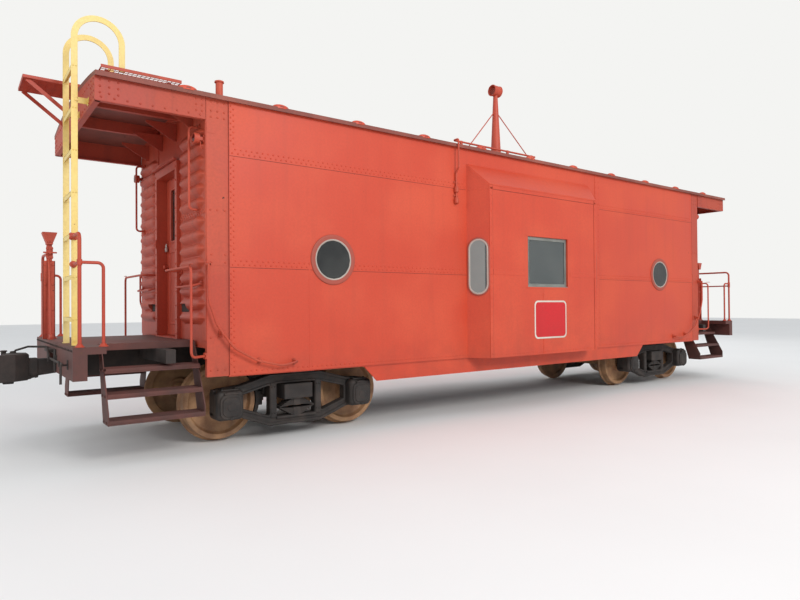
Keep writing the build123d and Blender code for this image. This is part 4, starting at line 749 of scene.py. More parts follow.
skin = {"y": -1.316, "post": -1.308, "pitch": 0.0625, "lap": 3.123, "belt": 1.94, "edge": 4.665, "bottom": 0.795,
        "bayLeft": -1.314, "bayRight": 1.406, "bayFace": -1.594, "frontLeft": -1.139, "frontRight": 1.231}
skinY, post, pitch, lap, belt, edge, bottom, bayLeft, bayRight, bayFace, frontLeft, frontRight = skin.values()


def levelRow(x0, x1, y, z, pitch):
    # evenly spaced places along the car
    return rowOf((x0, y, z), (x1, y, z), pitch)


def uprightRow(x, y, z0, z1, pitch):
    # evenly spaced places up the wall
    return rowOf((x, y, z0), (x, y, z1), pitch)


def grid(xs, y, zs):
    # places at every pair of an x and a height
    return np.array([(x, y, z) for x in xs for z in zs])


runs = ((-4.71, bayLeft - 0.012), (bayRight + 0.2, 4.71))
rivets, strips, postParts = [], [], []
for x0, x1 in runs:
    for z, height, rise in ((lap, 0.098, 0.028), (belt, 0.095, 0.026)):
        out = skinY - 0.0022
        strips.append(box(x0, out, z, x1, skinY + 0.002, z + height, 0.0015))
        rivets.append(doubleRow((x0 + 0.03, out, z + rise), (x1 - 0.03, out, z + rise), pitch, (0, 0, 0.042)))
    rivets.append(levelRow(x0 + 0.05, x1 - 0.05, skinY, 0.83, pitch))
postBolts = []
for s in (-1, 1):
    for z0, z1 in ((0.88, 1.9), (2.07, 3.09), (3.25, 3.68)):
        rivets.append(doubleRow((s * edge, skinY, z0), (s * edge, skinY, z1), pitch, (s * 0.032, 0, 0)))
    postBolts += [(s * x, post, z) for z in (0.86, 1.2, 2.53) for x in (4.76, 4.84, 4.915)]
    postBolts += [(s * x, post, z) for x in (4.765, 4.835, 4.905) for z in (3.5, 3.565, 3.66)]
    postBolts += [(s * x, post - 0.002, z) for x in (4.757, 4.905) for z in (1.985, 2.065)]
    postParts += [box(s * x, -1.3105, z0, s * 4.95, -1.306, z1, 0.0008)
                  for x, z0, z1 in ((4.735, 1.95, 2.1), (4.86, 3.33, 3.44))]
postParts.append(repeated(dome(0.0115, 0.008, 8, 2), postBolts, sideOut))
makePiece("corner_post_plates", bothEnds(joined(postParts)), endPaint, smooth=50)

# upright seams, then the bay: corner strips and beads, belt battens, a doubled drip edge, window casings
strips.append(boxes(
    (bayRight + 0.19, skinY - 0.004, bottom, bayRight + 0.31, skinY + 0.002, 3.7, 0.0015),
    (-3.775, skinY - 0.0018, bottom, -3.755, skinY + 0.002, belt, 0.001),
))
rivets += [uprightRow(bayRight + x, skinY - 0.004, 0.85, 3.66, 0.09) for x in (0.21, 0.29)]
for x, s in ((frontLeft, -1), (frontRight, 1)):
    beadX, beadY, stripX = x - 0.003 * s, bayFace + 0.004, x - 0.028 * s
    strips.append(box(stripX - 0.024, bayFace - 0.004, bottom, stripX + 0.024, bayFace + 0.003, 3.178, 0.0015))
    strips.append(rod([(beadX, beadY, bottom), (beadX, beadY, 3.182)], 0.018, sides=16))
strips.append(boxes(*[(x0, bayFace - out, z0, x1, bayFace + back, z1, radius) for x0, x1, z0, z1, out, back, radius in (
    (-1.08, -0.43, belt, belt + 0.075, 0.0035, 0.003, 0.0015), (0.57, 1.175, belt, belt + 0.075, 0.0035, 0.003, 0.0015),
    (-1.128, 1.22, 3.118, 3.148, 0.004, 0.003, 0.0015), (-1.145, 1.237, 3.17, 3.19, 0.004, 0.004, 0.003),
    (-0.4115, 0.5515, 2.5135, 2.531, 0.004, 0.003, 0.002), (-0.4075, 0.5475, 1.757, 1.7785, 0.004, 0.003, 0.002),
    (-0.052, -0.042, bottom, 1.7, 0.0035, 0.003, 0.001),
)]))
rivets += [uprightRow(x, bayFace - 0.004, 0.85, 3.14, 0.11) for x in (frontLeft + 0.028, frontRight - 0.028)]
rivets.append(levelRow(-1.1, 1.19, bayFace, 0.83, 0.09))
slanted = []
for end, front, s in ((bayLeft, frontLeft, -1), (bayRight, frontRight, 1)):
    a, b = end + (front - end) * 0.1, end + (front - end) * 0.93
    places = [rowOf((a, -1.344, 3.415), (b, -1.574, 3.165), 0.045), rowOf((a, -1.344, 3.12), (b, -1.574, 3.12), 0.06)]
    slanted.append(repeated(dome(0.0075, 0.0055, 7, 2), np.concatenate(places), (s * 0.278, -0.175, 0)))
# dark lines under the laps, under the bay's drip edge and along the upright seams: dirt in the joints and painted shade
# under the edges
seamDarkLineRows = [(x0, skinY - 0.0012, z - 0.005, x1, skinY + 0.002, z + 0.001) for x0, x1 in runs for z in (lap, belt)]
seamDarkLineRows += [(x - 0.003, skinY - 0.0012, 0.8, x + 0.003, skinY + 0.002, 3.7) for x in (-4.717, 4.717)]
seamDarkLineRows += [(x - 0.0025, bayFace - 0.001, 0.8, x + 0.0025, bayFace + 0.002, 3.17) for x in (-1.084, 1.175)]
seamDarkLineRows.append((-1.13, bayFace - 0.001, 3.112, 1.22, bayFace + 0.002, 3.118))
makePiece("seam_dirt_and_painted_shade", bothEnds(boxes(*[(*row, 0.0004, 1) for row in seamDarkLineRows])), seamDirtAndShadePaint)
makePiece("side_seam_strips", bothEnds(joined(strips)), bodyPaint)
places = np.concatenate(rivets)
away = np.min([np.hypot(places[:, 0] - x, places[:, 2] - porthole["z"]) for x in porthole["x"]], 0)
places = places[away > 0.31]
heads = joined([repeated(dome(0.0105, 0.0072, 7, 2), places, sideOut), *slanted])
makePiece("side_rivets", bothEnds(heads), bodyPaint, smooth=50)
print("side rivets", len(places))

# roof: raised seams, each with a low rounded cover over its end, longer along the car than across it

seam = {"places": 1.03 * np.arange(-5, 6), "span": 1.36, "cover": (0.1, 0.045, 0.04), "section": (
    (-0.023, -0.004), (-0.023, 0.009), (-0.018, 0.0135), (0.018, 0.0135), (0.023, 0.009), (0.023, -0.004),
)}
span = seam["span"]
seamY = np.linspace(-span - 0.006, span + 0.006, 41)
seamZ = roofOver(np.clip(seamY, -span, span))
seams = [carried(seam["section"], np.stack([x + 0 * seamY, seamY, seamZ], 1), up) for x in seam["places"]]
makePiece("roof_seams", joined(seams), roofPaint)
cover, coverFaces = dome(1.0, 1.0, 24, 6)
caps = []
for x in seam["places"]:
    caps.append((cover * seam["cover"] + (x, -1.322, roofOver(1.33) - 0.004), coverFaces))
    caps.append(repeated(bolt, [(x + dx, -1.3, roofOver(1.3)) for dx in (-0.085, 0.085)], (0, -0.14, 1)))
makePiece("roof_eave_caps", bothEnds(joined(caps)), bodyPaint)

# hood: rivets along the valance, gussets and ribs inside, lips along its lower edges

hood = {"face": -6.006, "inner": -4.957}
hoodFace, inner = hood["face"], hood["inner"]
head = dome(0.0115, 0.008, 7, 2)
sideRivets = [levelRow(-5.95, -5.02, skinY, z, 0.11) for z in (3.7, 3.5)]
sideRivets += [grid(xs, skinY, (3.54, 3.6, 3.66)) for xs in ((-5.96, -5.88, -5.8), (-5.06, -5.0))]
faceRivets = [rowOf((hoodFace, -1.26, z), (hoodFace, 1.26, z), 0.11) for z in (3.5, 3.68)]
faceRivets.append([(hoodFace, s * y, z) for s in (-1, 1) for y in (1.27, 1.2, 1.13) for z in (3.56, 3.62)])
hoodParts = [repeated(head, places, sideOut) for places in sideRivets]
hoodParts += [repeated(head, places, endOut) for places in faceRivets]
hoodParts += [repeated(head, places * [1, -1, 1], alongY) for places in sideRivets]
gusset = [(0, 0), (0.34, 0), (0.34, 0.025), (0.03, 0.2), (0, 0.2)]
for s in (-1, 1):
    hoodParts += [plate(gusset, (inner, s * y + 0.004, 3.66), endOut, (0, 0, -1), 0.008) for y in (0.28, 0.9)]
    hoodParts += [box(-6.0, s * 1.262, 3.462, -4.965, s * 1.316, 3.4695, 0.002),
                  box(-5.99, s * 0.45 - 0.03, 3.655, -4.965, s * 0.45 + 0.03, 3.785)]
hoodParts.append(box(hoodFace, -1.3, 3.462, -5.95, 1.3, 3.4695, 0.002))
makePiece("hood_angles_and_rivets", bothEnds(joined(hoodParts)), hoodPaintWithShade, smooth=45)
print("roof dressed")

# gratings: slotted steel on the roof walk, the landing board and the steps


def grating(x0, x1, y0, y1, top, depth, pitchX, pitchY, bar=0.005, nose=0.0012):
    # a grid of upright bars with round-nosed cross bars a little lower, inside a frame
    low, half, e = top - depth, bar / 2, 0.004
    ys, xs = (np.linspace(a + bar, b - bar, max(2, round((b - a) / pitch)))
              for a, b, pitch in ((y0, y1, pitchY), (x0, x1, pitchX)))
    edges = ((x0 - e, y0 - e, x1 + e, y0 + e), (x0 - e, y1 - e, x1 + e, y1 + e),
             (x0 - e, y0, x0 + e, y1), (x1 - e, y0, x1 + e, y1))
    return boxes(
        *[(x0, y - half, low, x1, y + half, top, nose, 1) for y in ys],
        *[(x - half, y0, top - depth * 0.8, x + half, y1, top - nose * 2.5, nose, 1) for x in xs],
        *[(a, b, low, c, d, top + 0.002, 0.0015, 1) for a, b, c, d in edges],
    )


walk = {"sides": (-0.225, 0.225), "strap": ((-6.45, 3.893), (-6.3, 3.777), (-6.13, 3.645), (-6.008, 3.55)),
        "flat": ((-0.02, -0.003), (0.02, -0.003), (0.02, 0.003), (-0.02, 0.003))}
makePiece("roof_walk_gratings", bothEnds(joined([
    grating(-6.486, -4.594, -0.251, 0.251, 3.926, 0.03, 0.072, 0.034),
    grating(-5.9, -5.131, -1.055, -0.425, 3.883, 0.006, 0.04, 0.045, 0.005, 0.0006),
    box(-5.905, -1.063, 3.872, -5.127, -1.055, 3.905),
    *[box(x - 0.02, -0.25, roofOver(0.24) - 0.004, x + 0.02, 0.25, 3.896, 0.004) for x in (-5.926, -5.45, -4.67)],
    *[box(x - 0.02, -0.998, roofOver(0.99) - 0.004, x + 0.02, -0.43, 3.878, 0.004) for x in (-5.835, -5.237)],
    *[carried(walk["flat"], [(x, y, z) for x, z in walk["strap"]], alongY) for y in walk["sides"]],
    *[box(-6.014, y - 0.03, 3.5, -6.006, y + 0.03, 3.585) for y in walk["sides"]],
    repeated(bolt, [(-6.014, y, z) for y in walk["sides"] for z in (3.52, 3.57)], endOut),
])), endPaint, "car", ("roof_walks",))

# end walls: rivets on the seam strips, dark plates behind the toe holds as painted shade in their openings, drip strip
# over the door

endWall = {"face": panel["face"], "strip": (2.497, 2.545), "shadePlate": (0.476, 0.772, 1.466, 1.558), "jamb": -5.005,
           "drip": 3.222, "dripHalf": 0.47}
face, (z0, z1), (y2, y3, z2, z3), jamb, drip, dripHalf = endWall.values()
endParts = []
for s in (-1, 1):
    rows = doubleRow((face - 0.004, s * 0.48, z0 + 0.012), (face - 0.004, s * 1.27, z0 + 0.012), 0.07, (0, 0, 0.024))
    endParts += [
        box(face - 0.004, s * 0.455, z0, face + 0.002, s * 1.295, z1, 0.0015),
        repeated(rivet, rows, endOut),
        repeated(rivet, uprightRow(jamb, s * 0.415, 1.22, 3.14, 0.16), endOut),
    ]
dripLine = [(-5.04, y, drip + 0.02 * (1 - (y / dripHalf) ** 2)) for y in np.linspace(-dripHalf, dripHalf, 13)]
endParts += [
    carried([(-0.012, -0.002), (0.012, -0.002), (0.012, 0.004), (-0.012, 0.004)], dripLine, alongX),
    box(-5.04, -0.46, drip - 0.008, -4.998, 0.46, drip, 0.002),
]
makePiece("end_wall_strips_and_rivets", bothEnds(joined(endParts)), endPaint, smooth=45)
# thin near-black plates at the back of the toe holds: painted shade that makes the openings look deep and dark
shadePlates = boxes(*[(-4.9578, s * y2, z2, -4.9562, s * y3, z3, 0.0004, 1) for s in (-1, 1)])
makePiece("toe_hold_painted_shade_plates", bothEnds(shadePlates), underSteel)

# doors: window moulding, pressed panel, lock, knob and kick plate on each leaf

door = {"front": -4.88, "back": -4.835, "window": (0.206, 2.324, 2.976), "panel": (0.26, 1.32, 2.2), "lock": 0.305,
        "knob": 2.02}
front, back, window, pressed, lockY, knobZ = door.values()
screw = dome(0.006, 0.003)
knob = [(0, 0.024), (0.005, 0.024), (0.008, 0.014), (0.028, 0.0115), (0.034, 0.022), (0.045, 0.0285), (0.056, 0.024),
        (0.061, 0.01)]


def frameAround(x, y, z0, z1, width, height, radius=0.03, hand=-1):
    # raised moulding: a half-round section carried round a rounded rectangle in the door's plane
    route = [(x, 0, z0), (x, y, z0), (x, y, z1), (x, -y, z1), (x, -y, z0), (x, 0, z0)]
    line, t = roundedRoute(route, radius, 5)[:-1], np.linspace(0, pi, 7)
    section = [(width, -0.002), *zip(width * np.cos(t), height * np.sin(t)), (-width, -0.002)]
    out = np.array([[hand, 0, 0]])
    return extruded(section, line, np.cross(alongLine(line), out), out, True)


leafParts = [
    frameAround(front, *window, 0.016, 0.011, 0.05),
    frameAround(back, *window, 0.016, 0.008, 0.05, 1),
    frameAround(front, *pressed, 0.014, 0.008, 0.04),
    box(front - 0.003, -0.36, 1.185, front + 0.002, 0.36, 1.29, 0.001),
    repeated(screw, rowOf((front - 0.003, -0.34, 1.275), (front - 0.003, 0.34, 1.275), 0.085), endOut),
    box(front - 0.006, lockY - 0.03, 1.92, front + 0.002, lockY + 0.03, 2.13),
    lathe(knob, (front - 0.006, lockY, knobZ), endOut, 24, True),
    lathe([(0, 0.013), (0.005, 0.0125), (0.006, 0.007)], (front - 0.006, lockY, 1.955), endOut, 16, True),
    repeated(dome(0.0045, 0.0025), [(front - 0.006, y, z) for y in (0.285, 0.325) for z in (1.93, 2.12)], endOut),
    box(back - 0.002, 0.272, 1.9, back + 0.018, 0.352, 2.1, 0.004),
    rod([(back + 0.01, 0.31, 2.03), (back + 0.05, 0.31, 2.03), (back + 0.05, 0.2, 2.03)], 0.014, 0.012),
]
for z in (1.5, 2.84):
    leafParts += [box(back - 0.001, -0.372, z - 0.045, back + 0.004, -0.3, z + 0.045, 0.002),
                  repeated(screw, [(back + 0.004, -0.32, z + d) for d in (-0.03, 0, 0.03)], alongX)]
leaf = joined(leafParts)
makePiece("door_fittings_a", leaf, endPaint, "door_a")
makePiece("door_fittings_b", turned(leaf), endPaint, "door_b")

# lock side: a hasp folded back on the jamb; its staple and a closed padlock stay on the leaf

hasp = {"y": 0.33, "z": 2.31, "jambY": 0.415, "half": 0.023}
hy, hz, jambY, half = hasp.values()
hasps = joined([
    box(-0.005, -0.016, -0.06, 0.002, 0.016, 0.06),
    pin((-0.006, -0.018, 0), up, 0.05, 0.007),
    repeated(dome(0.006, 0.004), [(-0.005, 0.003, z) for z in (-0.045, 0.045)], endOut),
])
staple = joined([
    box(-0.005, -0.022, -0.04, 0.002, 0.022, 0.04),
    rod([(0, 0, 0.012), (-0.032, 0, 0.012), (-0.032, 0, -0.012), (0, 0, -0.012)], 0.009, 0.012, 10),
    repeated(screw, [(-0.005, 0, z) for z in (-0.032, 0.032)], endOut),
])
padlock = joined([
    rod([(-0.024, y, z) for y, z in ((-0.014, -0.045), (-0.014, 0.003), (0.014, 0.003), (0.014, -0.045))],
        0.008, 0.013, 12),
    box(-0.037, -half, -0.1, -0.011, half, -0.042, 0.008, 4),
])
makePiece("door_hasps", bothEnds(moved(hasps, (jamb, jambY, hz))), endPaint)
staple, padlock = (moved(part, (front, hy, hz)) for part in (staple, padlock))
for end, eye, lock in (("a", staple, padlock), ("b", turned(staple), turned(padlock))):
    makePiece("door_staple_" + end, eye, endPaint, "door_" + end)
    makePiece("padlock_" + end, lock, steelBright, "door_" + end)

# marker lamps: turned housings on brackets with a bull's-eye lens

lamp = {"y": 1.235, "z": 3.272, "lens": -5.056, "back": -5.008, "housing": (
    (-0.006, 0.03), (0, 0.05), (0.038, 0.052), (0.041, 0.056), (0.052, 0.056), (0.058, 0.052), (0.0575, 0.043),
    (0.05, 0.041),
)}
lampZ, back, lamps = lamp["z"], lamp["back"], []
for y in (-lamp["y"], lamp["y"]):
    lamps += [
        lathe(lamp["housing"], (back, y, lampZ), endOut, 36, True),
        box(back + 0.004, y - 0.02, lampZ - 0.02, -4.958, y + 0.02, lampZ + 0.02, 0.006),
        footPlate((-4.955, y, lampZ), endOut, 0.042, 0.007),
        rod([(-4.99, y, lampZ - 0.015), (-4.99, y, lampZ - 0.09), (-4.963, y, lampZ - 0.1)], 0.012, 0.02),
    ]
makePiece("turned_end_lamps", bothEnds(joined(lamps)), endPaint, "car", ("end_lamps",))
lenses = repeated(dome(0.0405, 0.017, 28, 7), [(lamp["lens"], y, lampZ) for y in (-lamp["y"], lamp["y"])], endOut)
makePiece("lamp_lenses", bothEnds(lenses), lensGlass)

# hand brake: channel post, ratchet case with a cover, flared top, operating rod, and two curved rods that
# leave the case and bend down to eyes on the deck

stand = {"place": (-6.15, 0.7, 0), "top": 2.078, "case": (2.068, 2.268),
         "rods": ((-0.028, -0.23, 2.12), (-0.01, -0.15, 2.2))}
place, postTop, (case0, case1), brakeRods = stand.values()
flare = ((0, 0.032, 0.057), (0.02, 0.034, 0.057), (0.125, 0.073, 0.057), (0.14, 0.077, 0.059),
         (0.144, 0.074, 0.056), (0.128, 0.066, 0.05), (0.128, 0.02, 0.02))
standParts = [
    box(-0.065, -0.03, deck, 0.065, -0.02, postTop),
    box(-0.065, -0.03, deck, -0.055, 0.03, postTop),
    box(0.055, -0.03, deck, 0.065, 0.03, postTop),
    box(-0.048, -0.02, deck, 0.085, 0.06, deck + 0.01),
    repeated(bolt, [(x, 0.045, deck + 0.01) for x in (-0.03, 0.07)], up),
    repeated(bolt, [(x, -0.03, z) for x in (-0.04, 0.04) for z in (1.22, 1.5, 1.8, 2.03)], sideOut),
    box(-0.023, -0.041, case0, 0.033, 0.008, case1, 0.006),
    box(-0.03, -0.05, 2.1, 0.04, -0.038, 2.24, 0.005),
    repeated(bolt, [(x, -0.05, z) for x in (-0.016, 0.026) for z in (2.118, 2.222)], sideOut),
    lathe([(-0.004, 0.022), (0.03, 0.022), (0.034, 0.016), (0.05, 0.014)], (0.005, -0.05, 2.17), sideOut, 20, True),
    pin((0.005, -0.09, 2.17), alongX, 0.07, 0.009),
    rod([(0, 0.012, 2.07), (0, 0.012, 1.175)], 0.018, sides=12),
    lathe([(0, 0.03), (0.02, 0.028), (0.028, 0.014)], (0, 0.004, deck), up, 20, True),
    *[box(-0.05, -0.02, z - 0.012, 0.05, 0.024, z + 0.004) for z in (1.45, 1.78)],
]
for start, foot, high in brakeRods:
    x = -0.004
    standParts += [
        rod([(x, start, high), (x, foot + 0.1, 1.93), (x, foot + 0.05, 1.6), (x, foot, deck + 0.02)], 0.019, 0.3, 12),
        lathe([(-0.012, 0.03), (-0.01, 0.034), (0.01, 0.034), (0.012, 0.03)], (x, foot, deck + 0.03), alongX, 20, True),
        box(-0.03, foot - 0.03, deck, 0.022, foot + 0.03, deck + 0.008),
    ]
standParts += [
    surface([[(0.005 + i * a, -0.016 + j * b, case1 + h) for i, j in ((-1, -1), (1, -1), (1, 1), (-1, 1))]
             for h, a, b in flare]),
    repeated(bolt, [(x, -0.073, 2.3) for x in (-0.01, 0.02)], sideOut),
]
makePiece("hand_brake_stands", bothEnds(moved(joined(standParts), place)), endPaint, "car", ("brake_stands",))

# blank sign plates: red enamel inside a pale edge, screwed on with spacers

sign = {"x": 0.112, "z": 1.3, "half": (0.36, 0.28), "round": 0.07, "edge": 0.024, "screws": (0.29, 0.21)}


def roundedOutline(halfX, halfZ, radius):
    # rectangle with quarter circles for corners, counter-clockwise
    t = np.linspace(0, pi / 2, 7)
    return np.concatenate([(i * (halfX - radius), j * (halfZ - radius))
                           + radius * np.stack([np.cos(t + turn), np.sin(t + turn)], 1)
                           for turn, i, j in ((0, 1, 1), (pi / 2, -1, 1), (pi, -1, -1), (3 * pi / 2, 1, -1))])


def signAt(inset, low, high):
    # the sign's outline drawn in evenly, between two distances from the bay's face
    outline = roundedOutline(sign["half"][0] - inset, sign["half"][1] - inset, sign["round"] - inset * 0.6)
    return plate(outline, (sign["x"], bayFace - low, sign["z"]), alongX, up, high - low, 0.0008)


corners = grid((sign["x"] - sign["screws"][0], sign["x"] + sign["screws"][0]), bayFace - 0.0056,
               (sign["z"] - sign["screws"][1], sign["z"] + sign["screws"][1]))
redParts = [signAt(sign["edge"], 0.004, 0.0056), repeated(dome(0.009, 0.004, 12), corners, sideOut)]
makePiece("sign_edges", bothEnds(signAt(0, 0, 0.0045)), paleEnamel, "car", ("sign_plates",))
makePiece("sign_faces", bothEnds(joined(redParts)), signPaint)

# step treads: gratings with a nosing; end sill rivets and the uncoupling levers

steps = {"z": (0.43, 0.67, 0.91), "x": (-5.888, -4.987), "outer": 1.325, "back": 0.075}
x0, x1 = steps["x"]
treads = []
for k, z in enumerate(steps["z"]):
    y = steps["back"] * k - steps["outer"]
    treads += [
        grating(x0 + 0.004, x1 - 0.004, y + 0.006, y + 0.229, z + 0.0165, 0.012, 0.06, 0.028, 0.004),
        box(x0, y - 0.004, z - 0.012, x1, y + 0.006, z + 0.018),
        *[repeated(bolt, [(x, y + 0.06, z - 0.004), (x, y + 0.18, z - 0.004)], (n, 0, 0))
          for x, n in ((x0 - 0.01, -1), (x1 + 0.01, 1))],
    ]
makePiece("step_treads", fourCorners(joined(treads)), deckPaint)
sill = {"face": -6.2, "lever": ((-6.29, -1.33, 0.83), (-6.29, -1.33, 1.0), (-6.26, -1.18, 1.0), (-6.26, -0.3, 1.0),
                                (-6.26, -0.12, 1.11), (-6.42, 0.03, 1.11), (-6.53, 0.1, 1.07))}
face, lever = sill.values()
makePiece("end_sill_fittings", bothEnds(joined([
    repeated(rivet, rowOf((face, -1.34, 1.125), (face, 1.34, 1.125), 0.09), endOut),
    repeated(rivet, [(face, s * y, z) for s in (-1, 1) for y in (0.22, 0.3) for z in (0.88, 0.94, 1.0, 1.06)], endOut),
    *[box(face - 0.012, s * 0.19, 0.86, face + 0.002, s * 0.34, 1.09, 0.004) for s in (-1, 1)],
    box(face - 0.05, -0.2, 1.05, face + 0.002, 0.2, 1.085, 0.005),
    rod(lever, 0.022, 0.04),
    rod([lever[-1], (-6.56, 0.13, 1.045)], 0.014),
    *[boxes((-6.275, y - 0.015, 0.975, face + 0.002, y + 0.015, 0.99),
            (-6.28, y - 0.02, 0.97, -6.27, y + 0.02, 1.025),
            (face - 0.007, y - 0.03, 0.94, face + 0.002, y + 0.03, 1.03)) for y in (-1.1, -0.36)],
])), underSteel)
print("ends fitted")

# trucks: thickened rims round the cast side frames, rounded axle boxes with hinged lids, leaf springs, brake gear

truck = {"x": 3.8, "wheelX": 0.838, "sideY": 0.978, "rim": 0.057, "axle": 0.447, "seat": 0.25, "band": 0.446,
         "web": 0.042, "cell": 0.0175, "beamX": 0.333, "leaf": (0.22, 0.0345)}
truckX, wheelX, sideY, rim, axleZ, seatZ, bandZ, web, cell, beamX, (leafHalf, leafWidth) = truck.values()
frameLine = np.array([(0.993, 0.312), (0.993, 0.612), (0.683, 0.638), (0.332, 0.735), (-0.332, 0.735),
                      (-0.683, 0.638), (-0.993, 0.612), (-0.993, 0.312), (-0.683, 0.282), (-0.332, 0.15),
                      (0.332, 0.15), (0.683, 0.282)])
sideOpening = np.array([(0.332, 0.262), (0.332, 0.617), (0.657, 0.534), (0.657, 0.374)])
openings = [np.array([(0.25, 0.25), (0.25, 0.628), (-0.25, 0.628), (-0.25, 0.25)]),
            sideOpening, sideOpening[::-1] * [-1, 1]]


def softened(outline, radius, steps):
    # closed outline with its corners rounded off, starting in the middle of a side
    start = (outline[-1] + outline[0]) / 2
    return roundedRoute([start, *outline, start], radius, steps)[:-1]


def rimAlong(outline, inset, width, y, reach, radius):
    # rounded bar right through the frame's thickness, carried round an outline drawn in by the inset
    line = np.insert(softened(drawnIn(outline, inset), radius, 5), 1, y, 1)
    return carried(chamfered(width, reach, 0.006), line, alongY, True)


def inside(outline, x, z):
    # even-odd rule: a point is in when a line to the right crosses the outline an odd number of times
    (ax, az), (bx, bz) = outline.T, np.roll(outline, -1, 0).T
    x, z = x[..., None], z[..., None]
    crossing = ax + (z - az) * (bx - ax) / np.where(bz == az, 1e-9, bz - az)
    return (((az > z) != (bz > z)) & (x < crossing)).sum(-1) % 2 == 1


def frameWeb(y):
    # flat web on a grid, kept where all four corners are in the casting's outline and out of its openings
    xs, zs = (np.linspace(a, b, int((b - a) / cell) + 1) for a, b in zip(frameLine.min(0), frameLine.max(0)))
    x, z = np.meshgrid(xs, zs, indexing="ij")
    ok = inside(frameLine, x, z) & ~np.any([inside(hole, x, z) for hole in openings], 0)
    keep = ok[:-1, :-1] & ok[1:, :-1] & ok[1:, 1:] & ok[:-1, 1:]
    points, faces = solidSheet(*[np.dstack([x, 0 * x + y + side, z]) for side in (-web, web)], keep)
    return points, faces.tolist()


def leafSpring(y):
    # leaf k: z = middle +- (gap + camber * (1 - (x / half)^2) + pitch * k), each one shorter than the last
    w, middle, parts = leafWidth, (seatZ + bandZ) / 2, []
    section = [(-w, -0.0055), (w, -0.0055), (w, 0.0045), (w - 0.006, 0.0055), (0.006 - w, 0.0055), (-w, 0.0045)]
    for hand in (-1, 1):
        for k in range(6):
            half = leafHalf * (1 - 0.13 * k)
            x = np.linspace(-half, half, 13)
            z = middle + hand * (0.0065 + 0.018 * (1 - (x / leafHalf) ** 2) + 0.0128 * k)
            parts.append(carried(section, np.stack([x, 0 * x + y, z], 1), up))
    w += 0.004
    parts.append(boxes(*[(-0.045, y - w, z0, 0.045, y + w, z1, 0.004)
                         for z0, z1 in ((seatZ, middle - 0.012), (middle + 0.012, bandZ))]))
    return joined(parts + [pin((x, y, middle), alongY, 0.006, 0.011, 10) for x in (-0.2, 0.2)])


def axleBox(x, s):
    # rounded case, its lid in two bevelled steps with a hinge on top, a boss in the middle and a catch below
    return moved(joined([
        box(-0.155, s * 0.862, -0.165, 0.155, s * 1.15, 0.165, 0.055, 6),
        plate(roundedOutline(0.125, 0.132, 0.075), (0, s * 1.138, -0.012), (-s, 0, 0), up, 0.026, 0.004),
        plate(roundedOutline(0.1, 0.105, 0.06), (0, s * 1.16, -0.014), (-s, 0, 0), up, 0.013, 0.006),
        box(-0.05, s * 1.12, 0.1, 0.05, s * 1.166, 0.15, 0.014, 4),
        pin((0, s * 1.158, 0.13), alongX, 0.08, 0.013, 14),
        lathe([(0, 0.05), (0.004, 0.046), (0.005, 0.03)], (0, s * 1.172, -0.015), (0, s, 0), 28, True),
        box(-0.02, s * 1.15, -0.155, 0.02, s * 1.176, -0.13, 0.006),
        box(-0.1, s * 1.03, 0.16, 0.1, s * 1.12, 0.174, 0.006),
        repeated(bolt, [(x, s * 1.075, 0.174) for x in (-0.075, 0.075)], up),
    ]), (x, 0, axleZ))


def brakeShoe(x, s):
    # curved block a finger's width off the tread, arcs of two radii about the axle, on a head hung from the frame
    hand, z = -np.sign(x), axleZ
    a = np.linspace(-0.36, 0.36, 11)
    a, hangX, rows = np.append(a, a[::-1]), x + hand * 0.505, []
    for radii, depth in (((0.428, 0.468), 0.724), ((0.425, 0.472), 0.73), ((0.425, 0.472), 0.804),
                         ((0.428, 0.468), 0.81)):
        r = np.repeat(radii, 11)
        rows.append(np.stack([x + hand * r * np.cos(a), 0 * a + s * depth, z + r * np.sin(a)], 1))
    return joined([
        surface(rows),
        box(x + hand * 0.468, s * 0.738, z - 0.085, hangX + hand * 0.01, s * 0.796, z + 0.085, 0.01, 3),
        rod([(hangX, s * y, h) for y, h in ((0.767, z + 0.05), (0.835, z + 0.05), (0.86, z + 0.09), (0.86, 0.68),
                                            (0.93, 0.68))], 0.022, 0.03),
        box(hangX - 0.02, s * 0.9, 0.655, hangX + 0.02, s * 0.935, 0.705, 0.005),
    ])


castings, brakes, springs = [], [], []
for s in (-1, 1):
    y = s * sideY
    castings += [
        rimAlong(frameLine, 0.016, 0.018, y, rim, 0.05),
        frameWeb(y),
        *[rimAlong(hole, -0.012, 0.014, y, rim - 0.003, 0.03) for hole in openings],
        box(-0.255, y - 0.075, 0.222, 0.255, y + 0.075, 0.2505, 0.006),
    ]
    for x in (-0.29, 0.29):
        studs = [(x + dx, s * 1.038, z) for dx in (-0.016, 0.016) for z in (0.29, 0.59)]
        castings += [box(x - 0.032, s * 1.024, 0.24, x + 0.032, s * 1.038, 0.64, 0.005),
                     repeated(rivet, studs, (0, s, 0))]
    castings += [axleBox(x, s) for x in (-wheelX, wheelX)]
    brakes += [brakeShoe(x, s) for x in (-wheelX, wheelX)]
    springs += [leafSpring(s * (sideY + d)) for d in (-0.038, 0.038)]
lever = [(-0.02, 0.36), (0.02, 0.36), (0.014, 0.56), (0.0, 0.585), (-0.014, 0.56)]
for s in (-1, 1):
    x, inX = s * beamX, s * (beamX - 0.02)
    brakes += [
        box(x - 0.022, -0.8, 0.415, x + 0.022, 0.8, 0.48, 0.006),
        rod([(x, -0.72, axleZ), (x - s * 0.035, 0, 0.36), (x, 0.72, axleZ)], 0.028, 0.02),
        box(inX - 0.02, -0.02, 0.35, inX + 0.02, 0.02, 0.43, 0.006),
        plate(lever, (x, 0.06, 0), alongX, up, 0.016),
    ]
    castings.append(boxes((-0.177, s * 1.06, 0.452, 0.177, s * 1.098, 0.612, 0.014, 3),
                          (-0.06, s * 0.62, 0.62, 0.06, s * 0.78, 0.72, 0.01, 3)))
brakes.append(rod([(-beamX, 0.066, 0.385), (beamX, 0.066, 0.385)], 0.025))
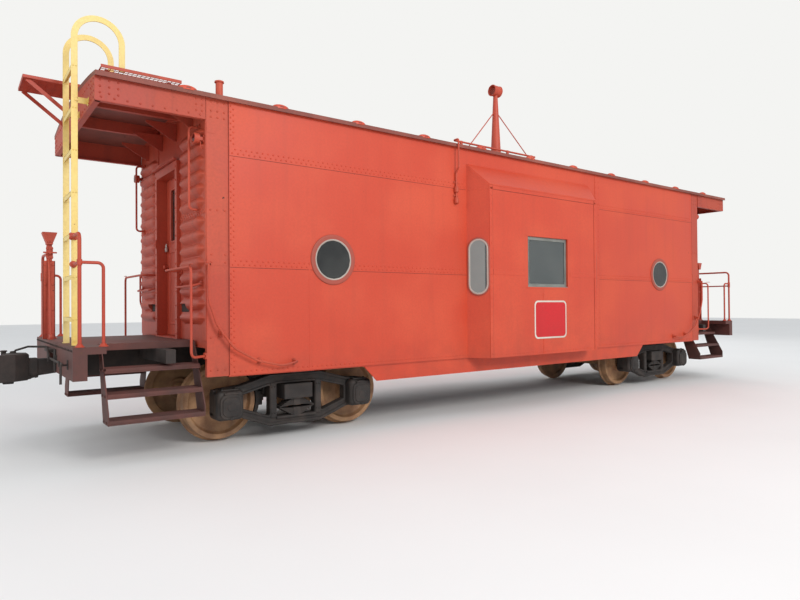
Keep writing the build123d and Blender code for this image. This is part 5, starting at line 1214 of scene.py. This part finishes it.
for end, shift in (("a", -truckX), ("b", truckX)):
    body = f"truck_{end}"
    for name, parts, old in (("rounded_castings", castings, [body + "_side_frames"]), ("hung_brake_gear", brakes, []),
                             ("curved_leaf_springs", springs, [body + "_springs"])):
        makePiece(f"{body}_{name}", moved(joined(parts), (shift, 0, 0)), truckSteel, body, old)
print("trucks dressed")

# couplers: rounded head, hooked knuckle on its pin, shank and draft gear; the two plan outlines are in millimetres

coupler = {"place": (-6.75, 0, 0.904), "headHalf": 0.14, "knuckleHalf": 0.118, "gear": 1.495,
           "head": ((330, -95), (200, -190), (20, -225), (-10, -168), (78, -132), (122, -60), (128, 40), (96, 96),
                    (150, 150), (172, 214), (214, 214), (330, 95)),
           "knuckle": ((128, 30), (58, 18), (6, 40), (0, 92), (30, 152), (74, 196), (150, 214), (206, 190), (168, 110))}
place, high, low, gear, head, knuckle = coupler.values()
headLine, knuckleLine = (softened(np.array(p) / 1000, r, 3) for p, r in ((head, 0.02), (knuckle, 0.016)))
knucklePin = [(-high - 0.02, 0.016), (-high - 0.018, 0.024), (high + 0.012, 0.024), (high + 0.014, 0.034),
              (high + 0.024, 0.034), (high + 0.028, 0.028)]
makePiece("rounded_couplers", bothEnds(moved(joined([
    plate(headLine, (0, 0, -high), alongX, alongY, 2 * high, 0.014),
    plate(knuckleLine, (0, 0, -low), alongX, alongY, 2 * low, 0.012),
    lathe(knucklePin, (0.12, 0.168, 0), up, 20, True),
    boxes((0.3, -0.075, -0.085, 0.42, 0.075, 0.085, 0.02, 3), (0.32, -0.065, -0.075, gear, 0.065, 0.075, 0.012, 3),
          (gear - 0.28, -0.16, -0.115, gear + 0.28, 0.16, 0.115, 0.008),
          (0.1, -0.03, -high - 0.035, 0.2, 0.04, 0.01 - high, 0.01, 3)),
    lathe([(0, 0.03), (0.02, 0.028), (0.024, 0.016)], (0.2, 0.1, high - 0.002), up, 18, True),
]), place)), underSteel, "car", ("couplers",))

# under the floor: train pipe and angle cocks, tanks with straps, brake cylinder, levers and rods, cross members

trainPipe = {"y": 0.262, "z": 1.02, "cock": (-6.35, 0.328, 0.774)}
ty, tz, (cockX, cockY, cockZ) = trainPipe.values()
cockBody = [(0.016, 0.03), (0.02, 0.036), (0.045, 0.036), (0.05, 0.028)]
cockHandle = [(0, 0.02), (0.05, 0.018), (0.055, 0.024), (0.065, 0.024), (0.068, 0.012)]
cock = joined([
    rod([(-6.02, ty, tz), (-6.07, ty, 0.82), (-6.3, 0.31, 0.79), (-6.36, 0.33, 0.77)], 0.042, 0.06, 16),
    lathe([(-0.05, 0.03), (-0.045, 0.036), (-0.02, 0.036), (-0.016, 0.03), *cockBody], (cockX, cockY, cockZ),
          (-0.94, 0.3, -0.2), 20, True),
    lathe(cockHandle, (cockX, cockY, cockZ + 0.016), up, 16, True),
    boxes((-6.36, 0.32, 0.85, -6.34, 0.43, 0.858), (-6.083, ty - 0.035, 0.8, -6.058, ty + 0.035, 0.93, 0.005)),
])
socket = [(-0.03, 0.024), (-0.028, 0.029), (0.028, 0.029), (0.03, 0.024)]
underParts = [
    rod([(-6.03, ty, tz), (6.03, ty, tz)], 0.04, sides=16),
    rod([(-6.03, -ty, tz), (-5.95, -ty, tz)], 0.04, sides=16),
    *[lathe(socket, (x, ty, tz), alongX, 14, True) for x in (-2.1, 0.9, 2.9)],
]
dish = np.linspace(0.06, 1, 7) * pi / 2
tanks = (((-0.62, 0.62, 0.68), 0.2065, 0.5, 0.07), ((0.62, -0.62, 0.72), 0.1615, 0.24, 0.02))
for (x, y, z), radius, half, bulge in tanks:
    endCurve = np.stack([half + bulge * np.cos(dish), radius * np.sin(dish)], 1)
    strap = [(-0.025, radius + 0.001), (-0.025, radius + 0.006), (0.025, radius + 0.006), (0.025, radius + 0.001)]
    underParts.append(lathe(np.concatenate([endCurve * [-1, 1], endCurve[::-1]]), (x, y, z), alongX, 40, True))
    underParts += [lathe(strap, (x + d, y, z), alongX, 40) for d in (-half * 0.74, half * 0.74)]
cylinder = {"y": -0.62, "z": 0.72, "flange": 0.39, "bolts": 0.176}
cy, cz, flangeX, ring = cylinder.values()
around = circle(8) * ring
underParts += [
    lathe([(-0.016, 0.188), (-0.014, 0.192), (0.014, 0.192), (0.016, 0.188)], (flangeX, cy, cz), alongX, 40, True),
    repeated(bolt, [(flangeX - 0.016, cy + a, cz + b) for a, b in around], endOut),
    lathe([(0, 0.026), (0.32, 0.026), (0.325, 0.02)], (0.88, cy, cz), alongX, 18, True),
    box(1.18, -0.635, 0.6, 1.25, -0.605, 0.84, 0.008),
    rod([(1.215, -0.62, 0.82), (1.215, -0.3, 0.9), (1.215, -0.1, 0.9)], 0.03, 0.04),
    boxes((1.18, -0.62, 0.815, 1.25, 0.2, 0.833, 0.006), (1.19, -0.03, 0.8, 1.24, 0.03, 1.0, 0.006)),
    rod([(-0.1, 0.62, 0.78), (0.2, 0.62, 0.86), (0.2, 0.3, 1.02), (0.2, ty, tz)], 0.03, 0.06),
    rod([(0.6, -0.46, 0.8), (0.6, -0.3, 0.95), (0.2, ty, tz)], 0.026, 0.05),
    lathe([(0, 0.045), (0.02, 0.05), (0.07, 0.05), (0.09, 0.03), (0.12, 0.02)], (0.2, 0.3, 1.0), (0, 0, -1), 20, True),
    rod([(1.215, 0.17, 0.824), (1.6, 0.15, 0.83), (2.9, 0.12, 0.85)], 0.024, 0.2),
    rod([(1.215, -0.58, 0.65), (-1.0, -0.45, 0.82), (-2.9, -0.12, 0.85)], 0.024, 0.2),
    boxes(*[(x - 0.03, -0.14, 0.84, x + 0.03, 0.14, 0.87, 0.006) for x in (-2.9, 2.9)],
          *[(x - 0.02, y - 0.01, 0.8, x + 0.02, y + 0.01, 0.85, 0.004) for x in (-2.9, 2.9) for y in (-0.12, 0.12)],
          *[(x - 0.05, s * 0.17, 0.95, x + 0.05, s * 1.25, 1.09, 0.006) for x in (-5.3, 5.3) for s in (-1, 1)],
          *[(x - 0.03, -1.25, 1.02, x + 0.03, 1.25, 1.092, 0.004) for x in (-4.6, -3.1, -1.9, 1.9, 3.1, 4.6)]),
    bothEnds(cock),
]
makePiece("under_floor_fittings", joined(underParts), underSteel)
print("underside fitted")

# stage, lights, camera: a matt pale floor with faint wide clouds


def standing(name, data, axes, place):
    # an object whose local axes and place are given, linked to the scene
    thing = bpy.data.objects.new(name, data)
    thing.matrix_world = Matrix([[*(axis[k] for axis in axes), place[k]] for k in range(3)] + [[0, 0, 0, 1]])
    bpy.context.scene.collection.objects.link(thing)
    return thing


floorHalf = 60
floorMesh = bpy.data.meshes.new("floor_sheet")
corners = [(i * floorHalf, j * floorHalf, 0) for i, j in ((-1, -1), (1, -1), (1, 1), (-1, 1))]
floorMesh.from_pydata(corners, [], [(0, 1, 2, 3)])
material, tree, coords = newMaterial("pale_floor")
tone = mixed(tree, patches(tree, coords, 0.4, 0.3, 0.7, 0.25), "#ecebe8", "#e2e1de")
shaded(tree, {"Base Color": tone, "Roughness": 0.9})
floorMesh.materials.append(material)
floorSheet = standing("floor_sheet", floorMesh, (alongX, alongY, up), (0, 0, 0))


def softLamp(name, place, target, size, power):
    # square area lamp looking at a target, its lower edge level
    data = bpy.data.lights.new(name, "AREA")
    data.shape, data.size, data.energy = "SQUARE", size, power
    away = unit(np.subtract(place, target))
    side = unit(np.cross(up, away))
    standing(name, data, (side, np.cross(away, side), away), place)


# a high soft key beside the car, a weak fill off the near end and a rim lamp behind
softLamp("key_lamp", (-2.0, -19.0, 11.5), (0, 0, 2.0), 7.0, 2100)
softLamp("fill_lamp", (-19.0, -1.0, 7.0), (-4, 0, 2.0), 8.0, 330)
softLamp("rim_lamp", (14.0, 13.0, 10.0), (0, 0, 2.0), 8.0, 700)

# bluish sky light on the car, a plain pale backdrop to the camera, in mirrors and through glass
world = bpy.data.worlds.new("studio")
bpy.context.scene.world = world
world.use_nodes = True
tree = world.node_tree
tree.nodes.clear()
rays = addNode(tree, "LightPath").outputs
direct = calc(tree, "MAXIMUM", rays["Is Camera Ray"], rays["Is Glossy Ray"])
seen = calc(tree, "MAXIMUM", direct, rays["Is Transmission Ray"])
sky = addNode(tree, "Background", {"Color": "#e8ecf2", "Strength": 0.9})
back = addNode(tree, "Background", {"Color": "#f4f4f2", "Strength": 1.0})
blend = addNode(tree, "MixShader", {0: seen, 1: sky.outputs[0], 2: back.outputs[0]})
addNode(tree, "OutputWorld", {0: blend.outputs[0]})

# camera: angles in radians, yaw from +Y towards +X, millimetres for the lens and its sensor
view = {"place": (-7.0975, -7.5571, 1.5144), "yaw": 0.6374, "pitch": 0.0099, "roll": -0.0071, "lens": 27.4176,
        "sensor": 36.0, "far": 300}
place, yaw, pitch, roll = view["place"], view["yaw"], view["pitch"], view["roll"]
forward = np.array([sin(yaw) * cos(pitch), cos(yaw) * cos(pitch), sin(pitch)])
right = np.array([cos(yaw), -sin(yaw), 0.0])
above = np.cross(right, forward)
across = right * cos(roll) + above * sin(roll)
upward = -right * sin(roll) + above * cos(roll)
cameraData = bpy.data.cameras.new("photo_camera")
cameraData.sensor_width, cameraData.lens, cameraData.clip_end = view["sensor"], view["lens"], view["far"]
bpy.context.scene.camera = standing("photo_camera", cameraData, (across, upward, -forward), place)
bpy.context.scene.view_settings.view_transform = "Standard"
print("stage ready")
